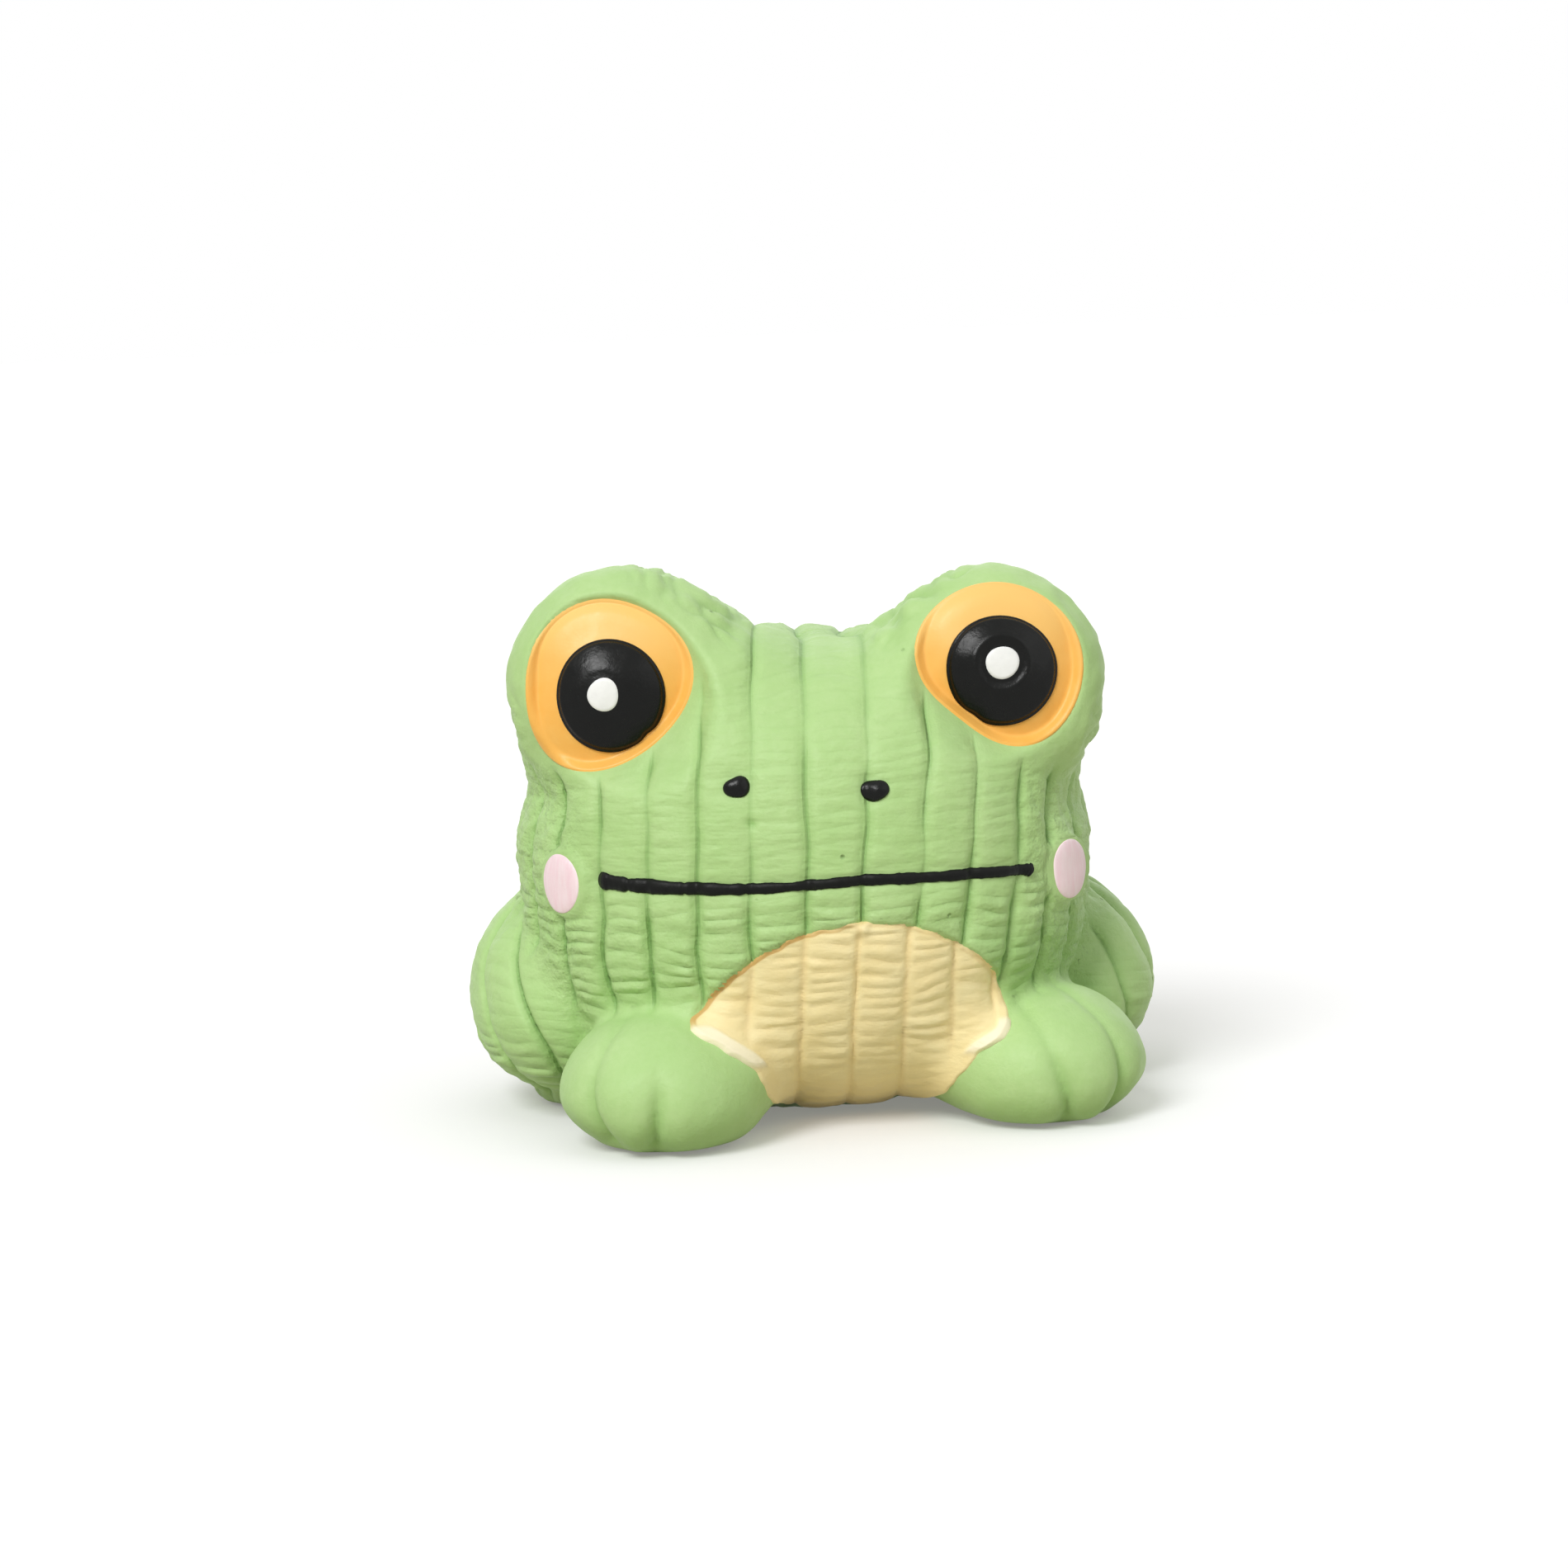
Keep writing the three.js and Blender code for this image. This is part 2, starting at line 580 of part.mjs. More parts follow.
// Belly paint: a coat over the ribs inside an oval patch, stopped where the feet begin; none is laid in the
// shade of the feet, so for the paint they stand upright on the ground
const footShade = { ...footForm, lowerPower: FOOT_SHADE_POWER };
const bellyHalfHeight = BELLY_TOP - BELLY_MIDDLE;
const patchOutline = new THREE.Shape()
  .absellipse(0, BELLY_MIDDLE, BELLY_HALF_WIDTH, bellyHalfHeight, 0, 2 * Math.PI);
const patchExtrusion = { depth: reach / 2, bevelEnabled: false, curveSegments: 20 };
const patchPrism = solidOf(new THREE.ExtrudeGeometry(patchOutline, patchExtrusion)
  .rotateX(Math.PI / 2).translate(0, -BELLY_SETOUT, 0).applyMatrix4(seatPlace));
const bellySolid = formSolid(bodyForm, SEAT_GAP + PAINT_THICKNESS)
  .subtract(formSolid(bodyForm, SEAT_GAP))
  .intersect(patchPrism)
  .subtract(joined(bothSides(formSolid(footShade, SEAT_GAP), footPlace)))
  .subtract(belowHeight(BELLY_EDGE_HEIGHT));

// Squeaker cup: outer flange, neck through the lip, inner flange, and a perforated inner end
const neckTop = lipTop + SEAT_GAP;
const boreRadius = NECK_RADIUS - CUP_WALL;
const cupProfile = [
  [0, FLANGE_INSET], [FLANGE_RADIUS, FLANGE_INSET], [FLANGE_RADIUS, FLANGE_INSET + FLANGE_THICKNESS],
  [NECK_RADIUS, FLANGE_INSET + FLANGE_THICKNESS], [NECK_RADIUS, neckTop], [FLANGE_RADIUS, neckTop],
  [NECK_RADIUS, neckTop + FLANGE_RADIUS - NECK_RADIUS], [NECK_RADIUS, CUP_HEIGHT - CUP_WALL],
  [boreRadius, CUP_HEIGHT], [0, CUP_HEIGHT],
];
const cupOuter = solidOf(spun(cupProfile, 24));
const boreTop = CUP_HEIGHT - CUP_WALL;
const cupBore = solidOf(spun([[0, -1], [boreRadius, -1], [boreRadius, boreTop], [0, boreTop]], 20));
const ventCircle = 0.55 * boreRadius;
const vents = Array.from({ length: CUP_VENT_COUNT }, (_, i) => {
  const angle = (2 * Math.PI * i) / CUP_VENT_COUNT;
  const [x, y] = [ventCircle * Math.cos(angle), ventCircle * Math.sin(angle)];
  const vent = new THREE.CylinderGeometry(CUP_VENT_RADIUS, CUP_VENT_RADIUS, 4 * CUP_WALL, 8);
  return solidOf(vent.rotateX(Math.PI / 2).translate(x, y, boreTop + CUP_WALL / 2));
});
const cupSolid = cupOuter.subtract(cupBore).subtract(joined(vents));

// Reed block: a round plug with a half-round stem, whose flat face stands back from the reed
const blockRadius = boreRadius - SEAT_GAP;
const blockBottom = FLANGE_INSET;
const clampHalf = REED_THICKNESS / 2 + SEAT_GAP;
const rootHeight = blockBottom + BLOCK_PLUG_HEIGHT + SEAT_GAP + REED_TAIL_LENGTH;
const roundBar = (low, high) =>
  solidOf(spun([[0, low], [blockRadius, low], [blockRadius, high], [0, high]], 24));
const box = (x, y, z, low, depth) => solidOf(new THREE.BoxGeometry(x, y, z).translate(0, depth, low + z / 2));
const plugTop = blockBottom + BLOCK_PLUG_HEIGHT;
const clampSpace = box(reach, reach, reach, plugTop, clampHalf - reach / 2);
const layRelief = box(reach, reach, reach, rootHeight, clampHalf + REED_OPENING - SEAT_GAP - reach / 2);
const channelDepth = clampHalf + REED_OPENING + AIR_CHANNEL_WIDTH / 2;
const boreHalf = AIR_CHANNEL_WIDTH / 2;
const airBoreLength = 2 * (rootHeight + AIR_CHANNEL_WIDTH - blockBottom);
const airBore = solidOf(new THREE.CylinderGeometry(boreHalf, boreHalf, airBoreLength, 12)
  .rotateX(Math.PI / 2).translate(0, channelDepth, blockBottom));
const airSlot = box(AIR_CHANNEL_WIDTH, 2 * channelDepth, REED_FREE_LENGTH - 2, rootHeight + 0.6, 0);
const blockSolid = roundBar(blockBottom, blockBottom + BLOCK_LENGTH)
  .subtract(clampSpace)
  .subtract(layRelief)
  .subtract(airBore)
  .subtract(airSlot);
const wedgeSolid = roundBar(plugTop + SEAT_GAP, rootHeight)
  .subtract(box(reach, reach, reach, 0, reach / 2 - clampHalf));
const reedGeometry = new THREE.BoxGeometry(REED_WIDTH, REED_THICKNESS, REED_TAIL_LENGTH + REED_FREE_LENGTH)
  .translate(0, 0, rootHeight + (REED_FREE_LENGTH - REED_TAIL_LENGTH) / 2);

// Fibre filling: the space inside the skin, clear of the wall, the eye backings and the squeaker
const padRoomRadius = padRadius + SEAT_GAP;
const cupRoomRadius = NECK_RADIUS + 2 * SEAT_GAP;
const cupRoomTop = CUP_HEIGHT + SEAT_GAP;
const squeakerRoom = solidOf(spun([[0, -1], [padRoomRadius, -1], [padRoomRadius, neckTop],
  [cupRoomRadius, neckTop + padRoomRadius - NECK_RADIUS], [cupRoomRadius, cupRoomTop], [0, cupRoomTop]], 16));
const cheekRoomRadius = bossRadius + SEAT_GAP;
const cheekRoomLength = 2 * (WALL + SEAT_GAP);
const cheekRoom = solidOf(new THREE.CylinderGeometry(cheekRoomRadius, cheekRoomRadius, cheekRoomLength, 12)
  .rotateX(Math.PI / 2));
const fillingSolid = mouldedForms((form) => drawnIn(form, WALL + SEAT_GAP))
  .subtract(squeakerRoom)
  .subtract(eyeCollars(SEAT_GAP))
  .subtract(joined(bothSides(cheekRoom, cheekPlace)));

// Colours and finishes
const finish = (color, roughness) => new THREE.MeshStandardMaterial({ color, roughness, metalness: 0 });
const LATEX = finish(0xb4d891, 0.55);
const AMBER_PAINT = finish(0xfcc672, 0.4);
const BLACK_PAINT = finish(0x1b1c16, 0.2);
const WHITE_PAINT = finish(0xf0f1ee, 0.35);
const PINK_PAINT = finish(0xf1d9de, 0.45);
const SAND_PAINT = finish(0xdcc68f, 0.5);
const FIBRE = finish(0xf4f2ec, 0.95);
const WHITE_PLASTIC = finish(0xeeece3, 0.4);
const REED_FILM = finish(0xd8cfae, 0.3);

function piece(name, shape, material) {
  const mesh = new THREE.Mesh(shape.isBufferGeometry ? shape : geometryOf(shape), material);
  mesh.name = name;
  return mesh;
}

function groupAt(matrix, pieces) {
  const group = new THREE.Group();
  group.applyMatrix4(matrix);
  group.add(...pieces);
  return group;
}

const toy = new THREE.Group();
toy.add(
  piece("latex_skin", skinSolid, LATEX),
  piece("fibre_filling", fillingSolid, FIBRE),
  piece("belly_paint", bellySolid, SAND_PAINT),
  piece("mouth_paint", mouthBead(0), BLACK_PAINT),
  piece("squeaker_cup", cupSolid, WHITE_PLASTIC),
  piece("reed_block", blockSolid, WHITE_PLASTIC),
  piece("reed_wedge", wedgeSolid, WHITE_PLASTIC),
  piece("reed_tongue", reedGeometry, REED_FILM),
);
for (const { name, sign } of SIDES) {
  toy.add(
    groupAt(eyePlace(sign), [
      piece(`${name}_iris_paint`, irisGeometry, AMBER_PAINT),
      piece(`${name}_pupil_paint`, pupilGeometry, BLACK_PAINT),
      piece(`${name}_highlight_paint`, highlightGeometry, WHITE_PAINT),
    ]),
    groupAt(nostrilPlace(sign), [piece(`${name}_nostril_paint`, nostrilBead(NOSTRIL_RADIUS), BLACK_PAINT)]),
    groupAt(cheekPlace(sign), [piece(`${name}_cheek_paint`, cheekGeometry, PINK_PAINT)]),
  );
}

// The origin is on the standing surface, under the middle of the toy's box
const extent = new THREE.Box3().setFromObject(toy, true);
const middle = extent.getCenter(new THREE.Vector3());
toy.position.set(-middle.x, -middle.y, -extent.min.z);

export default toy;
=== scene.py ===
# The squeaky frog toy, dressed for its picture: a moulded latex skin with ribs, wrinkles and toe creases,
# coats of thick paint on its eyes, nostrils, mouth, cheeks and belly, and the squeaker in its base.
# Shapes are worked out in millimetres in the toy's own frame, with its face along -Y.
import math

import bpy
import numpy as np
from mathutils import Matrix, Vector


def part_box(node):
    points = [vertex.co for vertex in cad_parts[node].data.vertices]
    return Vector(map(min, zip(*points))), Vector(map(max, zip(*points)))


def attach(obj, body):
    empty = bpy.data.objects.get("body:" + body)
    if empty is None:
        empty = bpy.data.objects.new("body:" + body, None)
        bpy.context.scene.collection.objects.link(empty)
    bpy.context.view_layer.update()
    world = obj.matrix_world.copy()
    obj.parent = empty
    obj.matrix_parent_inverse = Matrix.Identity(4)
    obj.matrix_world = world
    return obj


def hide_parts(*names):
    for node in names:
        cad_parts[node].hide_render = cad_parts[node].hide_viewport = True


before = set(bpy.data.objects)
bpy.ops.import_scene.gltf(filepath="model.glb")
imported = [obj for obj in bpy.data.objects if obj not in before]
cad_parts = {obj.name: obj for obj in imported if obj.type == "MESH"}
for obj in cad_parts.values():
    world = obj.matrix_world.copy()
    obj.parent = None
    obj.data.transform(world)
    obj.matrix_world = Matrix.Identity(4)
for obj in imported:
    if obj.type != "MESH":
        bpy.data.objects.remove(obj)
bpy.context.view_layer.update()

# The toy's own frame stands on the axis of the squeaker
cup_low, cup_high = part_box("squeaker_cup")
ORIGIN = np.array([(cup_low[0] + cup_high[0]) / 2, (cup_low[1] + cup_high[1]) / 2, 0.0])
MM = 0.001


def to_scene(points):
    return np.asarray(points) * MM + ORIGIN


# Small tools for numbers

def ramp(value, start, end):
    """0 before start, 1 after end, with a smooth rise between; start may be the larger."""
    share = np.clip((value - start) / (end - start), 0.0, 1.0)
    return share * share * (3.0 - 2.0 * share)


def soft_min(a, b, width):
    overlap = np.maximum(width - np.abs(a - b), 0.0) / width
    return np.minimum(a, b) - overlap * overlap * width / 4.0


def soft_max(a, b, width):
    return -soft_min(-a, -b, width)


def noise(x, y, z):
    """Smooth noise, about -1 to 1, with features about one unit wide."""
    cells = [np.floor(v) for v in (x, y, z)]
    shares = [v - c for v, c in zip((x, y, z), cells)]
    fades = [s * s * s * (s * (6.0 * s - 15.0) + 10.0) for s in shares]
    total = 0.0
    for corner in range(8):
        step = (corner & 1, corner >> 1 & 1, corner >> 2 & 1)
        mixed = sum((c + d) * k for c, d, k in zip(cells, step, (127.1, 311.7, 74.7)))
        weight, slope = 1.0, 0.0
        for axis, (fade, share, d) in enumerate(zip(fades, shares, step)):
            weight = weight * (fade if d else 1.0 - fade)
            scatter = np.sin(mixed + 1.7 * axis) * 43758.5453
            slope = slope + (2.0 * (scatter - np.floor(scatter)) - 1.0) * (share - d)
        total = total + weight * slope
    return 1.8 * total


def lumps(p, size):
    """Noise in space, with lumps of a size in mm."""
    return noise(*(p / size).T)


def bell(off, width):
    """1 in the middle, running out on both sides."""
    return np.exp(-(off / width) ** 2)


def turned(degrees):
    """Axes, as columns, turned about Z."""
    c, s = math.cos(math.radians(degrees)), math.sin(math.radians(degrees))
    return np.array([[c, -s, 0.0], [s, c, 0.0], [0.0, 0.0, 1.0]])


def spline(points, count, closed=False):
    """A smooth curve through a few points."""
    points = np.asarray(points, float)
    n = len(points)
    spans = n if closed else n - 1
    t = np.linspace(0.0, spans, count, endpoint=not closed)
    i = np.minimum(t.astype(int), spans - 1)
    f = (t - i)[:, None]
    pick = (lambda k: points[k % n]) if closed else (lambda k: points[np.clip(k, 0, n - 1)])
    a, b, c, d = pick(i - 1), pick(i), pick(i + 1), pick(i + 2)
    square = 2 * a - 5 * b + 4 * c - d
    cubic = 3 * b - a - 3 * c + d
    return 0.5 * (2 * b + (c - a) * f + square * f ** 2 + cubic * f ** 3)


def upright(normal):
    """Level and upward directions across a place that faces along a normal."""
    level = np.cross([0.0, 0.0, 1.0], normal)
    level /= np.linalg.norm(level)
    return level, np.cross(normal, level)


class Form:
    """A moulded form: a plan outline lofted over a rounded height."""

    OUTLINE_POINTS, HALVINGS = 1441, 20

    def __init__(self, width, front, back, waist, top, bottom, plan=2.0, upper=2.0, lower=2.0, crown=0.0,
                 origin=(0.0, 0.0, 0.0), axes=np.eye(3)):
        self.width, self.front, self.back = width, front, back
        self.waist, self.top, self.bottom = waist, top, bottom
        self.plan, self.upper, self.lower = plan, upper, lower
        self.crown = crown / width
        self.origin, self.axes = np.array(origin), axes
        around = np.linspace(0.0, 2.0 * math.pi, self.OUTLINE_POINTS)
        x = width * np.sign(np.sin(around)) * np.abs(np.sin(around)) ** (2.0 / plan)
        depth = np.where(np.cos(around) > 0, front, back)
        y = -depth * np.sign(np.cos(around)) * np.abs(np.cos(around)) ** (2.0 / plan)
        walked = np.concatenate([[0.0], np.cumsum(np.hypot(np.diff(x), np.diff(y)))])
        self.length = walked[-1]
        self.around, self.walked = around, walked / walked[-1]

    def local(self, p):
        return (p - self.origin) @ self.axes

    def plan_share(self, q):
        """How far out a point is in plan, 1 on the outline, and the outline's own scale across."""
        across = np.abs(q[:, 0]) / self.width
        ahead = np.abs(q[:, 1]) / np.where(q[:, 1] < 0, self.front, self.back)
        share = (across ** self.plan + ahead ** self.plan) ** (1.0 / self.plan)
        crown = np.where(q[:, 2] >= self.waist, self.crown, 0.0)
        if self.crown > 0:
            low = np.zeros_like(share)
            high = np.maximum(share, (share - crown) / (1.0 - crown)) + 1e-9
            for _ in range(self.HALVINGS):
                share = (low + high) / 2.0
                wide = crown + (1.0 - crown) * share
                outside = (across / wide) ** self.plan + (ahead / share) ** self.plan > 1
                low = np.where(outside, share, low)
                high = np.where(outside, high, share)
        return share, crown + (1.0 - crown) * share

    def distance(self, p):
        q = self.local(p)
        share, _ = self.plan_share(q)
        upper = q[:, 2] >= self.waist
        power = np.where(upper, self.upper, self.lower)
        reach = np.where(upper, self.top - self.waist, self.waist - self.bottom)
        rise = np.abs(q[:, 2] - self.waist) / reach
        gauge = np.maximum((share ** power + rise ** power) ** (1.0 / power), 1e-3)
        centre = np.array([0.0, 0.0, self.waist])
        return (1.0 - 1.0 / gauge) * np.linalg.norm(q - centre, axis=1)

    def turn(self, p):
        """Share of the way round by arc length from the front towards +X, and the scale there."""
        q = self.local(p)
        share, scale = self.plan_share(q)
        depth = np.where(q[:, 1] < 0, self.front, self.back)
        across = q[:, 0] / (self.width * np.maximum(scale, 1e-6))
        ahead = -q[:, 1] / (depth * np.maximum(share, 1e-6))
        half = self.plan / 2.0
        angle = np.arctan2(np.sign(across) * np.abs(across) ** half, np.sign(ahead) * np.abs(ahead) ** half)
        return np.interp(angle % (2.0 * math.pi), self.around, self.walked), scale


# The moulded forms, as in the part
SEAT_OFFSET, SEAT_TURN = np.array([1.2, 0.0, 0.0]), 10.0
SIDES = {"left": 1, "right": -1}
FACE_MIDDLE, EYE_TILT, EYE_SPLAY = 1.0, math.radians(12.0), math.radians(6.0)


def eye_axes(sign):
    """Level, upward and outward directions of an eye, as columns."""
    flat = math.cos(EYE_TILT)
    outward = np.array([sign * math.sin(EYE_SPLAY) * flat, -math.cos(EYE_SPLAY) * flat, math.sin(EYE_TILT)])
    return np.stack([*upright(outward), outward], axis=1)


def on_seat(x, y):
    """A place on the seat, which is turned a little against the face."""
    return SEAT_OFFSET + turned(SEAT_TURN) @ np.array([x, y, 0.0])


body = Form(width=36.2, front=33.0, back=31.0, waist=27.2, top=59.6, bottom=-0.7,
            plan=2.4, upper=3.1, lower=2.25, crown=26.0)
brows = {s: Form(width=14.0, front=14.0, back=14.0, waist=0.0, top=12.2, bottom=-16.0, upper=2.6,
                 origin=(FACE_MIDDLE + 23.0 * s, -11.5, 54.8 - 0.7 * s), axes=eye_axes(s)) for s in (1, -1)}
haunches = {s: Form(width=12.8, front=21.0, back=21.0, waist=waist, top=top, bottom=-0.5, lower=1.9,
                    origin=on_seat(reach * s, 8.0), axes=turned(SEAT_TURN + 8.0 * s))
            for s, reach, waist, top in ((1, 32.0, 11.7, 26.3), (-1, 31.2, 13.8, 28.4))}
feet = {s: Form(width=12.6, front=13.4, back=13.4, waist=6.8, top=16.8, bottom=-0.9, lower=2.3,
                origin=on_seat(23.4 * s, -22.0), axes=turned(SEAT_TURN + 20.0 * s)) for s in (1, -1)}
RIB_COUNT, HAUNCH_RIB_COUNT = 30, 11

# Hand-cut ribs across the face, in even rib widths from its middle; round the rest they are even
RIB_LINES = (-4.65, -3.6, -2.68, -1.78, -0.9, 0.02, 1.0, 2.0, 2.9, 3.85, 4.65)

# How far the ribs of each haunch lean with height, and where they start
HAUNCH_LEAN = {1: (0.03, -0.25), -1: (0.05, -0.48)}

# Inner and outer toe creases of each foot: place across it, bend, and the height of the bend
TOE_CREASES = {1: ((-5.6, 0.022, 13.0), (4.2, -0.03, 6.0)), -1: ((1.7, -0.02, 9.0), (-7.2, 0.05, 8.0))}


class Eye:
    """A domed eye in a shallow hollow, with hand-painted outlines of a few waves each."""

    DOME, REACH, EASE = 2.7, 17.0, 0.72

    # Depth and inset of the groove round the dome and slope of the wall outside it, below and above
    GROOVE_DEPTH, GROOVE_INSET, WALL_SLOPE = (0.75, 0.25), (1.4, 0.35), (0.85, 1.5)

    def __init__(self, sign, iris, pupil, highlight):
        self.level, self.upward, self.normal = eye_axes(sign).T
        self.origin = np.array([FACE_MIDDLE + 23.6 * sign, -21.0, 55.4])
        self.iris, self.pupil, self.highlight = iris, pupil, highlight

    def flat(self, p):
        q = p - self.origin
        return q @ self.level, q @ self.upward, q @ self.normal

    def bowl(self, u, v):
        """Height of the latex over the eye's plane: a wall, a groove and the eyeball's dome."""
        out, radius, steepness = self.iris.polar(u, v)
        above = ramp(steepness, 0.0, 0.9) * ramp(out / radius, 0.5, 0.85)
        depth, inset, slope = (low + (high - low) * above
                               for low, high in (self.GROOVE_DEPTH, self.GROOVE_INSET, self.WALL_SLOPE))
        wall = slope * (inset - radius + out)
        dome = self.DOME * (1.0 - (out / (radius - inset)) ** 2)
        return soft_max(wall, dome, 0.7) - depth

    def hollow(self, p):
        u, v, height = self.flat(p)
        result = np.full(len(p), -20.0)
        near = np.hypot(u, v) < self.REACH
        result[near] = self.EASE * (height[near] - self.bowl(u[near], v[near]))
        return result


class Outline:
    """A closed hand-drawn outline about a centre: a mean radius, a few waves (count, size, phase) and, if it
    has one, a nick (direction, depth, half angle)."""

    def __init__(self, centre, mean, *waves, nick=None):
        self.centre, self.mean, self.waves, self.nick = centre, mean, waves, nick

    def polar(self, u, v):
        """How far points are from the centre, the radius on their way, and how steeply they lie above it."""
        du, dv = u - self.centre[0], v - self.centre[1]
        off = np.hypot(du, dv)
        return off, self.radius(np.arctan2(dv, du)), dv / np.maximum(off, 1e-6)

    def radius(self, angle):
        result = self.mean + 0.0 * angle
        for count, size, phase in self.waves:
            result = result + size * np.cos(count * angle - math.radians(phase))
        if self.nick:
            direction, depth, half = self.nick
            off = (np.degrees(angle) - direction + 180.0) % 360.0 - 180.0
            result = result - depth * np.exp(-(off / half) ** 2)
        return result


eyes = {
    1: Eye(1, Outline((0.4, 1.58), 10.1, (2, 0.66, -80), (3, 0.39, 141), (4, 0.16, 21)),
           Outline((0.2, 0.5), 6.8, (2, 0.08, -60), (3, 0.07, 71), nick=(235, 0.3, 9.0)),
           Outline((0.05, 1.2), 1.95, (2, 0.05, 30), (3, 0.04, 100))),
    -1: Eye(-1, Outline((-0.89, 0.65), 10.45, (2, 0.49, 97), (3, 0.45, 8), (5, 0.07, 81)),
            Outline((-0.22, -0.8), 6.8, (2, 0.12, 180), (3, 0.06, 15), nick=(-48, 0.3, 7.0)),
            Outline((-0.83, -0.82), 1.87, (2, 0.08, 150), (3, 0.05, 200))),
}

# Fillets where forms meet, round the eyes and along the ground, and the recess for the squeaker's flange.
# Brows and feet run out softly towards the middle: the fillets on their outer and inner sides.
BROW_FILLETS, FOOT_FILLETS = {1: (4.5, 8.0), -1: (4.5, 11.5)}, {1: (2.0, 7.0), -1: (2.0, 7.0)}
HAUNCH_FILLET, RIM_FILLET, EDGE_FILLET = 2.4, 0.8, 0.9
RECESS_RADIUS, RECESS_DEPTH = 7.9, 1.8


def form_distances(p):
    shapes = [body, *brows.values(), *haunches.values(), *feet.values()]
    return [shape.distance(p) for shape in shapes]


def skin_field(p):
    """Signed distance, near enough, to the smooth latex surface."""
    trunk, *others = form_distances(p)
    fillets = [inward_fillet(p, brows[sign], sign, *BROW_FILLETS[sign]) for sign in brows]
    fillets += [HAUNCH_FILLET, HAUNCH_FILLET]
    fillets += [inward_fillet(p, feet[sign], sign, *FOOT_FILLETS[sign]) for sign in feet]
    for other, fillet in zip(others, fillets):
        trunk = soft_min(trunk, other, fillet)
    for eye in eyes.values():
        trunk = soft_max(trunk, eye.hollow(p), RIM_FILLET)
    trunk = soft_max(trunk, -p[:, 2], EDGE_FILLET)
    recess = soft_max(np.hypot(p[:, 0], p[:, 1]) - RECESS_RADIUS, p[:, 2] - RECESS_DEPTH, 0.2)
    return soft_max(trunk, -recess, 0.4)


def inward_fillet(p, form, sign, outer, inner):
    """A fillet that widens from the outer side of a form to its inner side."""
    return outer + (inner - outer) * ramp(sign * (form.origin[0] - p[:, 0]), 0.0, 9.0)


def gradient(p, step=0.04):
    columns = []
    for axis in range(3):
        shift = np.zeros(3)
        shift[axis] = step
        columns.append((skin_field(p + shift) - skin_field(p - shift)) / (2.0 * step))
    return np.stack(columns, axis=1)


def unit(vectors):
    return vectors / np.maximum(np.linalg.norm(vectors, axis=1, keepdims=True), 1e-9)


# Painted places on the face and belly, across and up the front of the toy
MOUTH_POINTS = [(-25.6, 32.75), (-20.3, 32.3), (-13.6, 32.05), (-7.0, 31.9), (-0.4, 32.1), (7.3, 32.45),
                (14.2, 32.3), (20.3, 32.2), (26.2, 31.85), (28.0, 31.55)]
BELLY_POINTS = [(6.9, 27.1), (-1.3, 25.8), (-7.7, 22.3), (-13.2, 17.7), (-14.7, 15.4), (-11.1, 12.8),
                (-7.6, 10.0), (-6.0, 6.5), (-4.2, 2.8), (-1.0, 1.0), (8.0, 1.0), (14.5, 2.4), (17.7, 6.2),
                (20.4, 9.8), (23.6, 11.9), (24.2, 15.0), (22.7, 19.8), (18.0, 24.2), (12.7, 26.5)]
NOSTRILS = {1: (8.7, 43.2), -1: (-7.9, 44.2)}
CHEEKS = {1: (31.9, 30.9), -1: (-29.6, 31.9)}
BOSS_RADIUS = 4.0

# Rise of each cheek's boss, and how much it leans to face the front
BOSS_SHAPE = {1: (0.9, 0.24), -1: (0.6, 0.0)}
NOSE_PIT = (-6.3, 39.8)
mouth_line = spline(MOUTH_POINTS, 120)
belly_line = spline(BELLY_POINTS, 240, closed=True)


def off_line(points, line, closed):
    """Shortest way from points to a line of short segments."""
    start = line
    end = np.roll(line, -1, axis=0)
    if not closed:
        start, end = start[:-1], end[:-1]
    best = np.full(len(points), 1e9)
    for a, b in zip(start, end):
        along = np.clip((points - a) @ (b - a) / ((b - a) @ (b - a)), 0.0, 1.0)
        best = np.minimum(best, np.linalg.norm(points - a - along[:, None] * (b - a), axis=1))
    return best


def off_belly(x, z):
    """Distance to the belly patch's edge, less than 0 inside it."""
    result = np.full(len(x), 20.0)
    near = (x > -22) & (x < 32) & (z < 34)
    points = np.stack([x[near], z[near]], axis=1)
    inside = np.zeros(len(points), bool)
    for a, b in zip(belly_line, np.roll(belly_line, -1, axis=0)):
        between = (a[1] > points[:, 1]) != (b[1] > points[:, 1])
        slope = (b[0] - a[0]) / (b[1] - a[1] if b[1] != a[1] else 1e-9)
        inside ^= between & (points[:, 0] < a[0] + slope * (points[:, 1] - a[1]))
    result[near] = off_line(points, belly_line, True) * np.where(inside, -1.0, 1.0)
    return result


def wrinkles(along, upward, band, length, spacing):
    """Wavering creases that run along a band, from -1 in a crease to 0 between them."""
    bend = 0.35 * noise(along / length, upward / (3.0 * spacing), 3.1 * band)
    return -bell(noise(along / (2.0 * length), upward / spacing + bend, 7.3 * band), 0.4)


def level_rungs(along, upward, band, spacing):
    """A stack of puffed rungs that starts anew in each band: the count upward, whole in the creases, how far
    the creases sink, from -1 to 0, and how strong the rungs are."""
    waver = noise(along / (6.0 * spacing), upward / (3.4 * spacing), 1.7 * band)
    patches = noise(along / (2.6 * spacing), upward / (2.6 * spacing), 0.9 * band + 20.5)
    count = upward / spacing + 5.37 * band + 0.8 * waver
    return count, -0.5 - 0.5 * np.cos(2.0 * math.pi * count), np.clip(0.65 + 0.7 * patches, 0.25, 1.0)


def creased(along, across, seed):
    """Crossing creases with puffed skin between, from -1 in a crease to 0."""
    return np.minimum(np.abs(noise(along, across, seed)) / 0.45, 1.0) - 1.0


